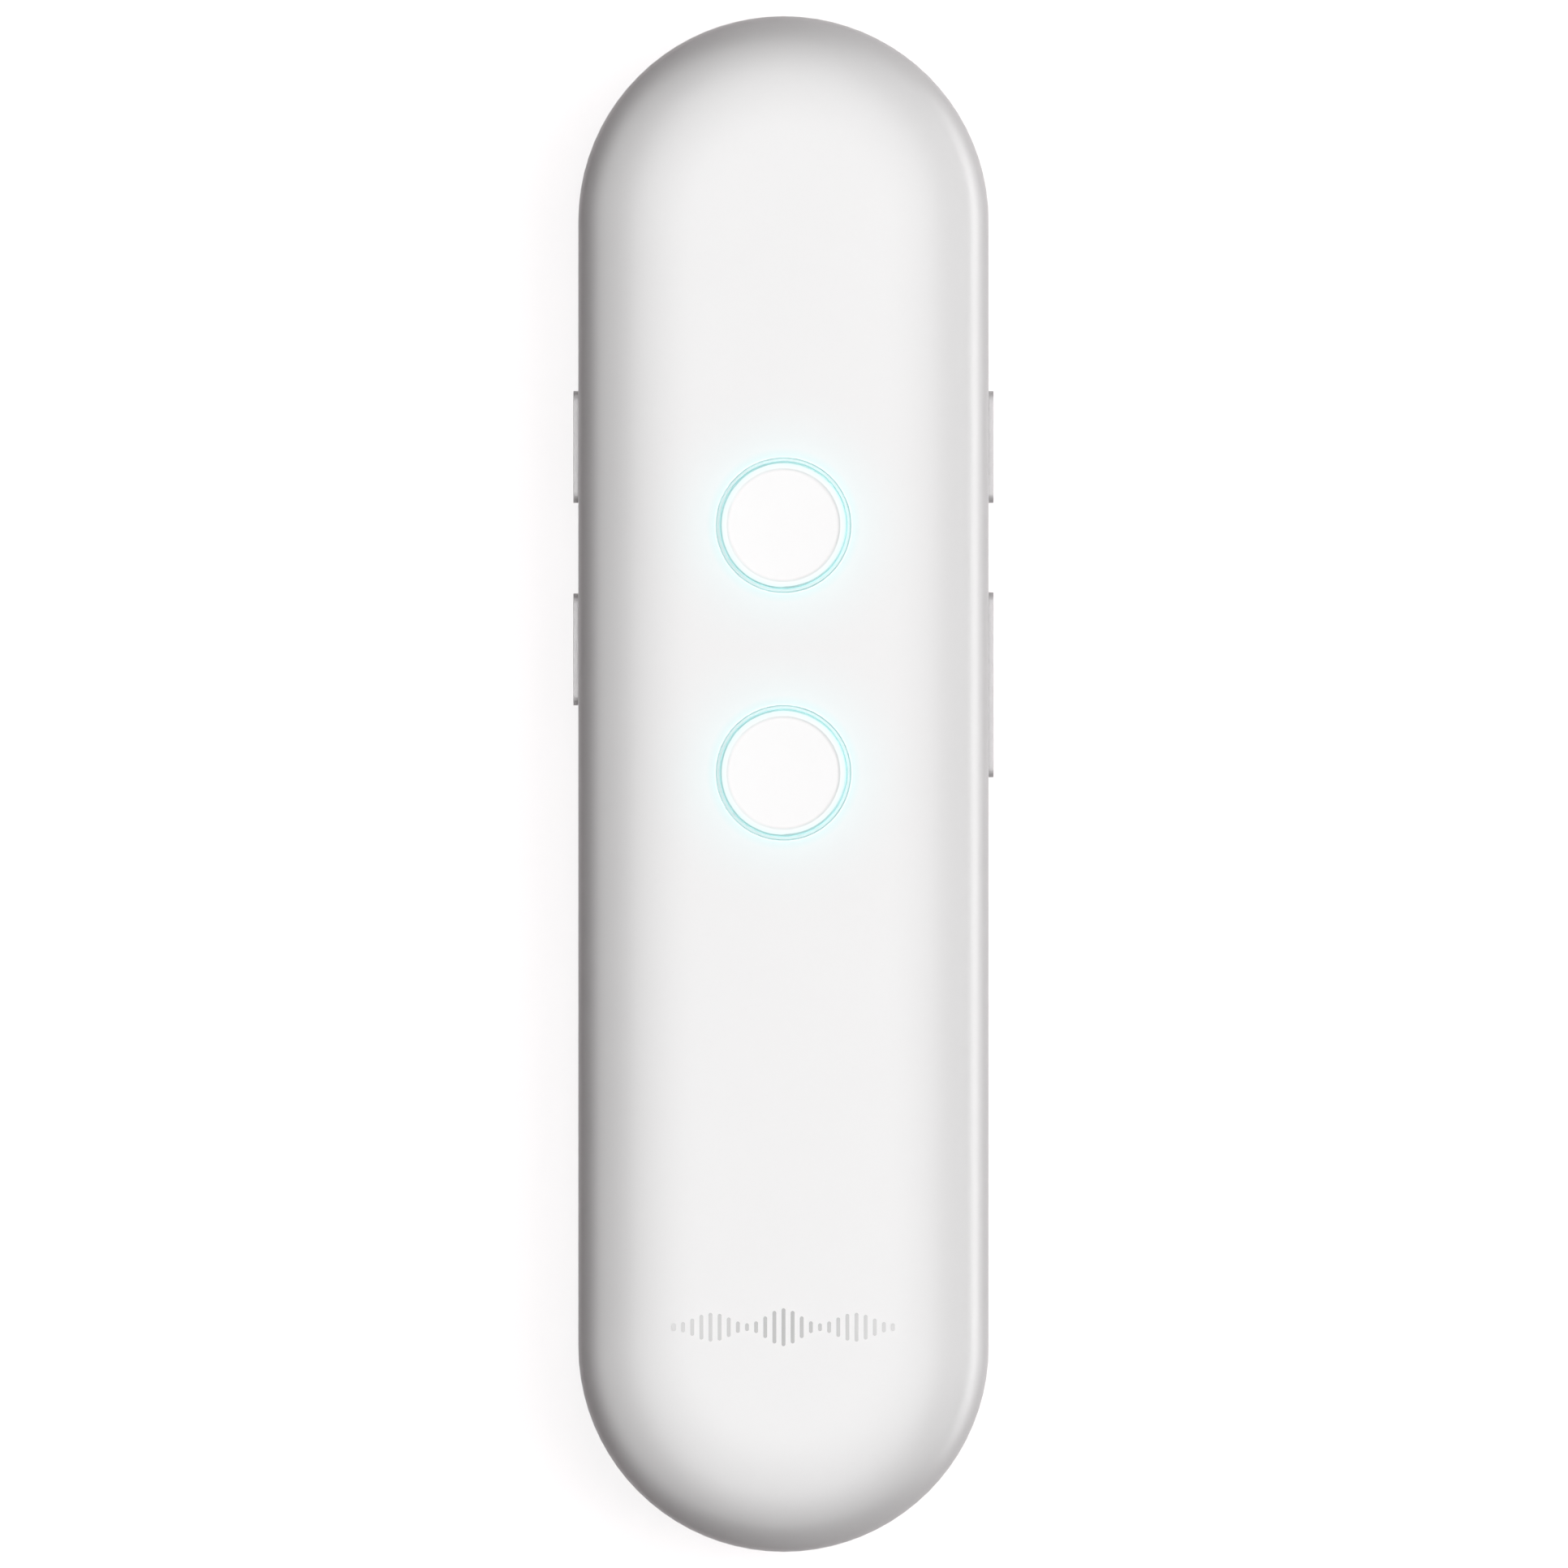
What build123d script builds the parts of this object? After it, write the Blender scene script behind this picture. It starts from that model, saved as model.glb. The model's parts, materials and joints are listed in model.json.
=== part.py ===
"""A pocket voice translator: a capsule-shaped stick with two lit thumb buttons on its face and side keys.

It lies on its flat back. +Z goes out through the face, +Y towards the top end, and +X to the right of the
face. The origin is on the surface it rests on, under its middle. All lengths are in millimetres.
"""

import math
import os

from build123d import *

# ---- casing: a straight middle with round ends, and a straight band round the side between rolled edges ----
body_length = 138.4
body_width = 37.0
front_depth = 4.8  # from the top of the side band to the face
band_height = 3.6  # the straight band that carries the keys
rear_depth = 4.0  # from the back to the bottom of the band, where the two shells meet
front_roll_radii = (24.0, 12.0, 6.0, 2.6)  # arcs from the face to the band, fitted to the depth
front_roll_turns = (12.0, 16.0, 22.0, 40.0)  # how far each arc turns, in shares of a right angle
rear_roll_radii = (8.0, 3.0)  # arcs from the back to the band
rear_roll_turns = (37.0, 53.0)
wall = 1.5
seam_chamfer = 0.15
lip_thickness = 0.6
lip_height = 0.9
lip_gap = 0.1
snap_length = 5.0
snap_height = 0.4
snap_reach = 0.25
snap_gap = 0.05
snap_from_top = (26.0, 80.0, 106.0)

# ---- thumb buttons and the light rings round them ----
upper_button_from_top = 45.95
button_pitch = 22.25
ring_radius = 6.0
ring_wall = 0.25
ring_gap = 0.05  # between the light ring and the hole in the face
ring_hole_chamfer = 0.05
ring_flange_radius = 7.0
ring_flange_thickness = 0.6
collar_gap = 0.1
collar_wall = 0.6
button_gap = 0.1  # between the button and the light ring
button_proud = 0.35
button_edge_radius = 0.15
button_rim = 0.55  # flat rim outside the dish
dish_edge_width = 0.3
dish_edge_rise = 0.06
dish_sag = 0.1
button_top_thickness = 1.1
button_flange_radius = 6.6
button_flange_thickness = 0.7
button_flange_gap = 0.1
button_skirt = 0.9
button_foot_radius = 1.6

# ---- thumb switches ----
talk_travel = 0.25
talk_switch_side = 5.2
talk_switch_floor = 0.2
dome_thickness = 0.1
dome_radius = 1.8
dome_gap = 0.1
plunger_radius = 1.1
plunger_flange_radius = 1.6
plunger_flange_thickness = 0.35
plunger_free = 0.1
plunger_hole_gap = 0.1
cover_thickness = 0.2
plunger_stand = 0.4  # plunger above the switch cover, at rest

# ---- side keys ----
key_from_top = (38.8, 57.05)  # power and mode keys on the left; the replay key faces the first
key_length = 10.1
rocker_from_top = 60.25
rocker_length = 16.7
key_height = 2.0
key_gap = 0.15
key_proud = 0.45
key_edge_radius = 0.05
key_flange_overlap = 0.5
key_flange_thickness = 0.6
key_flange_gap = 0.1
key_nub_length = 0.4
key_nub_width = 2.6
key_travel = 0.25

# ---- the rocker's trunnions and bearings ----
rocker_flange_length = 5.0
rocker_nub_offset = 5.0
rocker_nub_radius = 0.6
rocker_hub_length = 3.0
rocker_hub_depth = 0.95
trunnion_radius = 0.4
trunnion_length = 0.7
trunnion_inset = 0.05
trunnion_gap = 0.05
bearing_wall = 0.6
bearing_end_gap = 0.15
bearing_height = 1.1

# ---- side switches, under the board's edge ----
side_switch_depth = 3.4
side_switch_width = 4.6
side_switch_height = 1.7
side_plunger_width = 2.0
side_plunger_height = 0.9
side_plunger_reach = 0.7
side_plunger_inside = 0.9
side_plunger_gap = 0.08
side_frame_thickness = 0.15
nub_gap = 0.02

# ---- circuit board ----
board_thickness = 1.0
board_screw_across = 24.0
board_screw_from_top = (27.2, 99.2)
board_screw_radius = 0.7
board_screw_length = 3.4
board_screw_head_radius = 1.25
board_screw_head_height = 0.7
board_boss_radius = 1.7
screw_clearance = 0.15
screw_gap = 0.03
drive_width = 0.35
drive_depth_share = 0.5
drive_reach_share = 0.6
head_rounding_share = 0.3
boss_hole_gap = 0.3

# ---- casing screws and their plugs, near both ends ----
case_screw_across = 17.0
case_screw_from_end = 13.2
case_screw_radius = 0.8
case_screw_engagement = 4.0
case_screw_head_radius = 1.5
case_screw_head_height = 0.9
case_boss_radius = 2.2
rear_boss_radius = 2.5
case_boss_joint = 5.0  # height at which the front and rear bosses meet
screw_seat_height = 2.6
screw_seat_gap = 0.15
pilot_spare = 0.4
plug_radius = 1.6
plug_gap = 0.05
plug_recess = 0.15
plug_thickness = 1.1

# ---- charging socket ----
usb_width = 8.94
usb_height = 3.16
usb_depth = 7.35
usb_wall = 0.3
usb_recess = 1.0
usb_back = 1.2
usb_port_gap = 0.15
tongue_width = 6.69
tongue_thickness = 0.7
tongue_front_gap = 0.6
contact_pitch = 0.5
contact_width = 0.25
contact_length = 3.6
contact_thickness = 0.05
contact_setback = 0.2
contacts_per_side = 12
usb_leg_width = 1.0
usb_leg_above_board = 0.3
usb_leg_spacing = 4.6
usb_leg_gap = 0.1

# ---- microphones ----
mic_hole_radius = 0.5
bottom_mic_x = 8.5
mic_width = 3.76
mic_length = 2.24
mic_height = 1.0
mic_boot_wall = 0.7
mic_boot_gap = 0.05
mic_board_inset = 1.6  # from the board's end to the capsule

# ---- battery ----
battery_length = 50.0
battery_width = 20.0
battery_tape = 0.2
battery_swell_gap = 0.75
battery_edge_radius = 1.0
battery_to_speaker = 2.0
tape_inset = 2.0
battery_rib_gap = 0.3
battery_rib_wall = 0.8
battery_rib_height = 2.0
battery_rib_length = 7.0
battery_rib_arm = 3.5
protection_length = 3.0
protection_width = 16.0
protection_thickness = 0.8
protection_gap = 0.1
battery_plug_width = 4.0
battery_plug_length = 3.2
battery_plug_height = 1.8
battery_plug_bare = 0.8
battery_socket_wall = 0.5
battery_socket_back = 1.0
lead_run = 5.0  # from the protection board to the plug
lead_radius = 0.45
lead_spacing = 1.6
lead_bend_radius = 1.4

# ---- loudspeaker, firing out through the back ----
speaker_from_bottom = 25.7
speaker_radius = 9.0
speaker_rim_width = 1.0
speaker_rim_height = 1.0
speaker_wall = 0.4
speaker_height = 3.9
yoke_radius = 5.6
yoke_thickness = 0.5
magnet_radius = 3.9
magnet_thickness = 1.0
pole_radius = 4.1
pole_thickness = 0.5
coil_radius = 4.35
coil_thickness = 0.25
coil_height = 1.5
cone_thickness = 0.12
cone_radius = 6.9
cone_rise = 0.5
cone_dome_rise = 0.6
cone_travel = 0.2
surround_land = 0.12
surround_roll_height = 0.4
speaker_fit = 0.05
gasket_thickness = 0.4
gasket_width = 1.3
mesh_thickness = 0.1
mesh_gap = 0.1
seat_gap = 0.1
seat_wall = 0.8
seat_height = 1.7
grille_hole_radius = 0.6
grille_pitch = 2.0
grille_rings = 3
speaker_lead_radius = 0.35
speaker_lead_spacing = 3.0
speaker_lead_out = 1.5
speaker_lead_bend = 0.8
speaker_lead_above_rim = 0.7

# ---- parts on the board ----
shield_from_top = 23.0
shield_width = 15.0
shield_length = 13.0
shield_height = 1.8
shield_wall = 0.2
processor_side = 6.0
processor_height = 0.9
memory_width = 4.0
memory_length = 5.0
memory_height = 0.8
crystal_length = 3.2
crystal_width = 1.3
crystal_height = 0.7
crystal_from_shield = 0.5
chip_spread = 3.8  # how far the shielded chips stand from the shield's middle
amplifier_side = 3.0
amplifier_from_speaker = 6.0
charger_side = 3.0
charger_from_socket = 7.0
small_chip_height = 0.75
inductor_side = 4.0
inductor_height = 2.0
inductor_corner = 0.8
inductor_x = 5.5
antenna_length = 7.0
antenna_width = 2.0
antenna_height = 1.1
antenna_from_end = 4.2
led_length = 1.6
led_width = 0.8
led_height = 0.5
led_circle_radius = 6.3
leds_per_ring = 4
capacitor_length = 1.6
capacitor_width = 0.8
capacitor_height = 0.8
resistor_length = 1.0
resistor_width = 0.5
resistor_height = 0.35
passive_pitch = 2.4
passives_per_row = 5
passives_from_shield = 4.0

# ---- worked-out sizes and places ----
half_length = body_length / 2
half_width = body_width / 2
straight = body_length - body_width
end_centre = straight / 2
band_bottom = rear_depth
band_top = rear_depth + band_height
face_z = band_top + front_depth
key_z = (band_bottom + band_top) / 2
cavity_half = half_width - wall
inner_face_z = face_z - wall

flange_outer = cavity_half - key_flange_gap
flange_inner = flange_outer - key_flange_thickness
nub_tip = flange_inner - key_nub_length
board_half = nub_tip - side_plunger_reach
board_bottom = key_z + side_switch_height / 2
board_top = board_bottom + board_thickness
board_end = end_centre + board_half
flange_height = key_height + 2 * key_flange_overlap
flange_bottom = key_z - flange_height / 2
flange_top = key_z + flange_height / 2

upper_button_y = half_length - upper_button_from_top
lower_button_y = upper_button_y - button_pitch
button_ys = (upper_button_y, lower_button_y)
hole_radius = ring_radius + ring_gap
ring_bore = ring_radius - ring_wall
button_radius = ring_bore - button_gap
button_rim_z = face_z + button_proud
ring_bottom = inner_face_z - ring_flange_thickness
button_flange_top = ring_bottom - button_flange_gap
button_flange_bottom = button_flange_top - button_flange_thickness

dome_rise = talk_travel + dome_thickness
talk_floor_z = board_top + talk_switch_floor
dome_top = talk_floor_z + dome_rise
talk_housing_top = dome_top + plunger_flange_thickness + plunger_free
talk_cover_top = talk_housing_top + cover_thickness
plunger_top = talk_cover_top + plunger_stand

power_key_y = half_length - key_from_top[0]
mode_key_y = half_length - key_from_top[1]
replay_key_y = power_key_y
rocker_y = half_length - rocker_from_top
rocker_axis_x = flange_outer - trunnion_inset - trunnion_radius
plain_keys = ((-1, power_key_y), (-1, mode_key_y), (1, replay_key_y))
side_switches = plain_keys + (
    (1, rocker_y + rocker_nub_offset),
    (1, rocker_y - rocker_nub_offset),
)

case_screw_y = half_length - case_screw_from_end
case_screw_spots = [
    (x, y)
    for x in (-case_screw_across / 2, case_screw_across / 2)
    for y in (-case_screw_y, case_screw_y)
]
screw_seat_radius = case_screw_head_radius + screw_seat_gap
board_screw_spots = [
    (x, half_length - from_top)
    for x in (-board_screw_across / 2, board_screw_across / 2)
    for from_top in board_screw_from_top
]

usb_mouth_y = -half_length + usb_recess
usb_z = board_bottom - usb_height / 2
usb_back_y = usb_mouth_y + usb_depth
usb_leg_y = (usb_mouth_y + usb_back_y) / 2 + usb_recess / 2

speaker_y = -half_length + speaker_from_bottom
speaker_front_z = wall + gasket_thickness
speaker_back_z = speaker_front_z + speaker_height
battery_low_y = speaker_y + speaker_radius + battery_to_speaker
battery_y = battery_low_y + battery_length / 2
battery_high_y = battery_low_y + battery_length
battery_bottom = wall + battery_tape
battery_thickness = board_bottom - battery_swell_gap - battery_bottom
battery_plug_y = battery_high_y + protection_gap + protection_length + lead_run
protection_z = battery_bottom + battery_thickness / 2
battery_plug_z = board_bottom - battery_socket_wall - battery_plug_height / 2
shield_y = half_length - shield_from_top


# ---- helpers ----
def block(low, high):
    """A box from its lowest to its highest corner."""
    size = [b - a for a, b in zip(low, high)]
    centre = [(a + b) / 2 for a, b in zip(low, high)]
    return Pos(*centre) * Box(*size)


def disc(x, y, low_z, high_z, radius):
    """An upright cylinder between two heights."""
    return Pos(x, y, (low_z + high_z) / 2) * Cylinder(radius, high_z - low_z)


def tube(x, y, low_z, high_z, outer, inner):
    """An upright tube between two heights."""
    return disc(x, y, low_z, high_z, outer) - disc(x, y, low_z, high_z, inner)


def turned(x, y, edges):
    """The full turn, about the upright line through (x, y), of a closed outline of (radius, height) edges."""
    face = Plane.XZ * make_face(edges)
    return Pos(x, y, 0) * revolve(face, axis=Axis.Z)


def turned_polygon(x, y, points):
    return turned(x, y, Polyline(*points, close=True).edges())


def cap_arc(top_z, radius, sag):
    """The arc of a sphere's cap, from its pole out to a radius where it has come down by the sag."""
    sphere = (radius**2 + sag**2) / (2 * abs(sag))
    middle = radius / 2
    drop = math.copysign(sphere - math.sqrt(sphere**2 - middle**2), sag)
    return ThreePointArc((0, top_z), (middle, top_z - drop), (radius, top_z - sag))


def group(solids):
    """Separate solids that share one node."""
    return Compound(children=list(solids))


def roll(band_z, radii, turns, depth, up):
    """The arcs of a rolled edge, from the flat to the side band: centre, radius and the angles it runs between.

    Each arc leaves along the one before it. The radii are scaled so that together they fill the depth, and
    the turns so that they make a right angle. up is 1 for the front and -1 for the back.
    """
    angles = [math.pi / 2 * (1 - sum(turns[:count]) / sum(turns)) for count in range(len(turns) + 1)]
    spans = list(zip(radii, angles, angles[1:]))
    scale = depth / sum(radius * (math.sin(start) - math.sin(end)) for radius, start, end in spans)
    centre_x = half_width
    centre_z = band_z
    reached = 0
    arcs = []
    for radius, start, end in reversed(spans):
        centre_x -= (radius * scale - reached) * math.cos(end)
        centre_z -= up * (radius * scale - reached) * math.sin(end)
        reached = radius * scale
        arcs.insert(0, (centre_x, centre_z, reached, start, end))
    return arcs


def front_roll():
    return roll(band_top, front_roll_radii, front_roll_turns, front_depth, 1)


def rear_roll():
    return roll(band_bottom, rear_roll_radii, rear_roll_turns, rear_depth, -1)


def edge_arcs(arcs, offset, up):
    """Curves along a roll's arcs, moved inwards by an offset, as a wall's inner side is."""
    return [ThreePointArc(*arc_points(arc, offset, up)) for arc in arcs]


def arc_points(arc, offset, up):
    """An arc's start, middle and end."""
    centre_x, centre_z, radius, start, end = arc
    reach = radius - offset
    return [
        (centre_x + reach * math.cos(angle), centre_z + up * reach * math.sin(angle))
        for angle in (start, (start + end) / 2, end)
    ]


def capsule(edges):
    """The casing form of a closed half outline: along the straight middle, and turned round both ends."""
    face = Plane.XZ * make_face(edges)
    right = extrude(face, amount=end_centre, both=True)
    left = mirror(right, about=Plane.YZ)
    top = Pos(0, end_centre, 0) * revolve(face, axis=Axis.Z, revolution_arc=180)
    bottom = Rot(0, 0, 180) * top
    return right + left + top + bottom


def side_slot(y, length, height, low_x, high_x, sign):
    """A round-ended bar that lies along Y at the keys' height and runs from low_x to high_x on one side."""
    outline = Plane.YZ * SlotOverall(length, height)
    bar = extrude(outline, amount=high_x - low_x)
    x = low_x if sign > 0 else -high_x
    return Pos(x, y, key_z) * bar


def side_block(y, length, low_x, high_x, low_z, high_z, sign):
    """A box on one side of the casing, given its distances from the middle plane."""
    ends = sorted((sign * low_x, sign * high_x))
    return block((ends[0], y - length / 2, low_z), (ends[1], y + length / 2, high_z))


def round_lead(points, bend, radius):
    """A round wire along straight runs joined by arcs."""
    path = FilletPolyline(*points, radius=bend)
    start = Plane(origin=path @ 0, z_dir=path % 0)
    return sweep(start * Circle(radius), path=path)


# ---- openings that both shells share ----
def key_windows():
    """The windows in the side band for all side keys."""
    height = key_height + 2 * key_gap
    low_x = cavity_half - wall
    high_x = half_width + wall
    short = key_length + 2 * key_gap
    windows = [side_slot(y, short, height, low_x, high_x, sign) for sign, y in plain_keys]
    windows.append(side_slot(rocker_y, rocker_length + 2 * key_gap, height, low_x, high_x, 1))
    return windows


def socket_form(grow, low_y, high_y):
    """The socket's round-ended form, grown all round by a distance, between two places along Y."""
    outline = SlotOverall(usb_width + 2 * grow, usb_height + 2 * grow)
    return extrude(Plane.XZ.offset(-low_y) * Pos(0, usb_z) * outline, amount=low_y - high_y)


def port_opening():
    """The opening for the charging socket, through the bottom end's wall."""
    return socket_form(usb_port_gap, -half_length - wall, usb_mouth_y + 2 * wall)


def mic_hole(x, towards):
    """A sound hole along Y through one end's wall, at the keys' height."""
    hole = Rot(90, 0, 0) * Cylinder(mic_hole_radius, body_width / 2)
    return Pos(x, towards * (half_length - body_width / 4), key_z) * hole


# ---- the two shells ----
def front_shell():
    arcs = front_roll()
    flat_edge = arcs[0][0]
    rebate_x = cavity_half + lip_thickness + lip_gap
    rebate_top = band_bottom + lip_height + lip_gap
    outline = [
        Line((0, face_z), (flat_edge, face_z)),
        *edge_arcs(arcs, 0, 1),
        Line((half_width, band_top), (half_width, band_bottom + seam_chamfer)),
        Line((half_width, band_bottom + seam_chamfer), (half_width - seam_chamfer, band_bottom)),
        Line((half_width - seam_chamfer, band_bottom), (rebate_x, band_bottom)),
        Line((rebate_x, band_bottom), (rebate_x, rebate_top)),
        Line((rebate_x, rebate_top), (cavity_half, rebate_top)),
        Line((cavity_half, rebate_top), (cavity_half, band_top)),
        *edge_arcs(arcs, wall, 1),
        Line((flat_edge, inner_face_z), (0, inner_face_z)),
        Line((0, inner_face_z), (0, face_z)),
    ]
    shell = capsule(outline)
    shell += [front_case_boss(x, y) for x, y in case_screw_spots]
    shell += [board_boss(x, y) for x, y in board_screw_spots]
    shell += [ring_collar(y) for y in button_ys]
    shell += rocker_bearing(flange_top + bearing_end_gap, flange_top + bearing_end_gap + bearing_height)
    shell -= [button_hole(y) for y in button_ys]
    shell -= [case_pilot_hole(x, y) for x, y in case_screw_spots]
    shell -= [board_pilot_hole(x, y) for x, y in board_screw_spots]
    shell -= rocker_bore(flange_top, flange_top + trunnion_length + trunnion_gap)
    shell -= key_windows()
    shell -= snap_bars(lip_gap)
    shell -= [port_opening(), mic_hole(0, 1), mic_hole(bottom_mic_x, -1)]
    return shell


def face_height(distance):
    """The height of the face's skin at a distance from the middle line."""
    spans = [(arc, arc_points(arc, 0, 1)[-1][0]) for arc in front_roll()]
    centre_x, centre_z, radius = next(arc[:3] for arc, end_x in spans if distance <= end_x)
    return centre_z + math.sqrt(radius**2 - max(0, distance - centre_x) ** 2)


def boss_top(x, y, radius):
    """A height inside the face's wall, above all of a boss."""
    past_middle = max(0, abs(y) - end_centre)
    return face_height(math.hypot(x, past_middle) + radius) - wall / 2


def front_case_boss(x, y):
    return disc(x, y, case_boss_joint, boss_top(x, y, case_boss_radius), case_boss_radius)


def case_pilot_hole(x, y):
    depth = case_screw_engagement + pilot_spare
    return disc(x, y, case_boss_joint, case_boss_joint + depth, case_screw_radius + screw_gap)


def board_boss(x, y):
    return disc(x, y, board_top, boss_top(x, y, board_boss_radius), board_boss_radius)


def board_pilot_hole(x, y):
    depth = board_screw_length - board_thickness + pilot_spare
    return disc(x, y, board_top, board_top + depth, board_screw_radius + screw_gap)


def ring_collar(y):
    inner = ring_flange_radius + collar_gap
    return tube(0, y, ring_bottom, inner_face_z, inner + collar_wall, inner)


def button_hole(y):
    """The hole in the face round a light ring, with a small chamfer at its outer edge."""
    chamfer = ring_hole_chamfer
    return turned_polygon(
        0,
        y,
        [
            (0, ring_bottom),
            (hole_radius, ring_bottom),
            (hole_radius, face_z - chamfer),
            (hole_radius + chamfer, face_z),
            (hole_radius + chamfer, face_z + chamfer),
            (0, face_z + chamfer),
        ],
    )


def rocker_bearing(low_z, high_z):
    """A block on the side wall that carries one of the rocker's trunnions."""
    reach = trunnion_radius + trunnion_gap + bearing_wall
    low_x = rocker_axis_x - reach
    return side_block(rocker_y, 2 * reach, low_x, cavity_half + lip_thickness / 2, low_z, high_z, 1)


def rocker_bore(low_z, high_z):
    return disc(rocker_axis_x, rocker_y, low_z, high_z, trunnion_radius + trunnion_gap)


def snap_bars(gap):
    """Bars along both sides that hook the lip of the rear shell into the front shell."""
    low_x = cavity_half + lip_thickness - lip_gap
    high_x = cavity_half + lip_thickness + snap_reach + gap
    high_z = band_bottom + lip_height - snap_gap + gap
    low_z = band_bottom + lip_height - snap_gap - snap_height - gap
    return [
        side_block(half_length - from_top, snap_length + 2 * gap, low_x, high_x, low_z, high_z, sign)
        for from_top in snap_from_top
        for sign in (-1, 1)
    ]


def rear_shell():
    arcs = rear_roll()
    flat_edge = arcs[0][0]
    lip_top = band_bottom + lip_height
    lip_x = cavity_half + lip_thickness
    outline = [
        Line((0, 0), (flat_edge, 0)),
        *edge_arcs(arcs_below_seam(arcs), 0, -1),
        Line(seam_start(arcs), (half_width - seam_chamfer, band_bottom)),
        Line((half_width - seam_chamfer, band_bottom), (lip_x, band_bottom)),
        Line((lip_x, band_bottom), (lip_x, lip_top)),
        Line((lip_x, lip_top), (cavity_half, lip_top)),
        Line((cavity_half, lip_top), (cavity_half, band_bottom)),
        *edge_arcs(arcs, wall, -1),
        Line((flat_edge, wall), (0, wall)),
        Line((0, wall), (0, 0)),
    ]
    shell = capsule(outline)
    shell += [rear_case_boss(x, y) for x, y in case_screw_spots]
    shell += tube(0, speaker_y, wall / 2, wall + seat_height, seat_radius() + seat_wall, seat_radius())
    shell += battery_ribs()
    shell += rocker_bearing(flange_bottom - bearing_end_gap - bearing_height, flange_bottom - bearing_end_gap)
    shell += snap_bars(0)
    shell -= [rear_screw_hole(x, y) for x, y in case_screw_spots]
    shell -= rocker_bore(flange_bottom - trunnion_length - trunnion_gap, flange_bottom)
    shell -= grille_holes()
    shell -= key_windows()
    shell -= port_opening()
    return shell


def arcs_below_seam(arcs):
    """The rear roll's arcs, the last of them stopped where the seam's chamfer starts."""
    centre_x, centre_z, radius, start, _ = arcs[-1]
    return [*arcs[:-1], (centre_x, centre_z, radius, start, math.asin(seam_chamfer / radius))]


def seam_start(arcs):
    return arc_points(arcs_below_seam(arcs)[-1], 0, -1)[-1]


def seat_radius():
    return speaker_radius + seat_gap


def rear_case_boss(x, y):
    return disc(x, y, wall / 2, case_boss_joint, rear_boss_radius)


def rear_screw_hole(x, y):
    """The seat for a screw's head and plug, and the clearance hole for its shank."""
    seat = disc(x, y, -wall, screw_seat_height, screw_seat_radius)
    return seat + disc(x, y, 0, case_boss_joint, case_screw_radius + screw_clearance)


def battery_ribs():
    """Eight short ribs, two at each corner of the battery and its protection board."""
    high_z = wall + battery_rib_height
    side_x = battery_width / 2 + battery_rib_gap
    low_y = battery_low_y - battery_rib_gap
    high_y = battery_high_y + protection_gap + protection_length + battery_rib_gap
    ribs = []
    for sign in (-1, 1):
        out_x = side_x + battery_rib_wall
        for start, end in ((low_y, low_y + battery_rib_length), (high_y - battery_rib_length, high_y)):
            middle = (start + end) / 2
            ribs.append(side_block(middle, end - start, side_x, out_x, wall / 2, high_z, sign))
        for face, out_y in ((low_y, low_y - battery_rib_wall), (high_y, high_y + battery_rib_wall)):
            middle = (face + out_y) / 2
            arm = side_x - battery_rib_arm
            ribs.append(side_block(middle, battery_rib_wall, arm, out_x, wall / 2, high_z, sign))
    return ribs


def grille_spots():
    """Hole centres in hexagonal rings round the speaker's middle."""
    spots = [(0, speaker_y)]
    for ring in range(1, grille_rings + 1):
        for corner in range(6):
            start = math.radians(60 * corner)
            step = math.radians(60 * corner + 120)
            for k in range(ring):
                x = grille_pitch * (ring * math.cos(start) + k * math.cos(step))
                y = grille_pitch * (ring * math.sin(start) + k * math.sin(step))
                spots.append((x, speaker_y + y))
    return spots


def grille_holes():
    return [disc(x, y, -wall, 2 * wall, grille_hole_radius) for x, y in grille_spots()]


# ---- fasteners ----
def drive_cross(x, y, head_z, depth, reach):
    """The crossed slots of a screw's drive, from head_z upwards."""
    half = drive_width / 2
    slot = block((x - reach, y - half, head_z), (x + reach, y + half, head_z + depth))
    return slot + block((x - half, y - reach, head_z), (x + half, y + reach, head_z + depth))


def screw(x, y, seat_z, head_radius, head_height, radius, length):
    """A pan-head screw that points up, with its head under seat_z."""
    tip = radius / 2
    low = seat_z - head_height
    rounding = head_height * head_rounding_share
    body = turned_polygon(
        x,
        y,
        [
            (0, low),
            (head_radius - rounding, low),
            (head_radius, low + rounding),
            (head_radius, seat_z),
            (radius, seat_z),
            (radius, seat_z + length - radius),
            (tip, seat_z + length),
            (0, seat_z + length),
        ],
    )
    return body - drive_cross(x, y, low, head_height * drive_depth_share, head_radius * drive_reach_share)


def case_screws():
    length = case_boss_joint - screw_seat_height + case_screw_engagement
    head = (case_screw_head_radius, case_screw_head_height)
    return group(
        screw(x, y, screw_seat_height, *head, case_screw_radius, length) for x, y in case_screw_spots
    )


def board_screws():
    head = (board_screw_head_radius, board_screw_head_height)
    return group(
        screw(x, y, board_bottom, *head, board_screw_radius, board_screw_length)
        for x, y in board_screw_spots
    )


def screw_plugs():
    """Soft plugs that close the screw holes in the back."""
    return group(
        disc(x, y, plug_recess, plug_recess + plug_thickness, plug_radius) for x, y in case_screw_spots
    )


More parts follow.
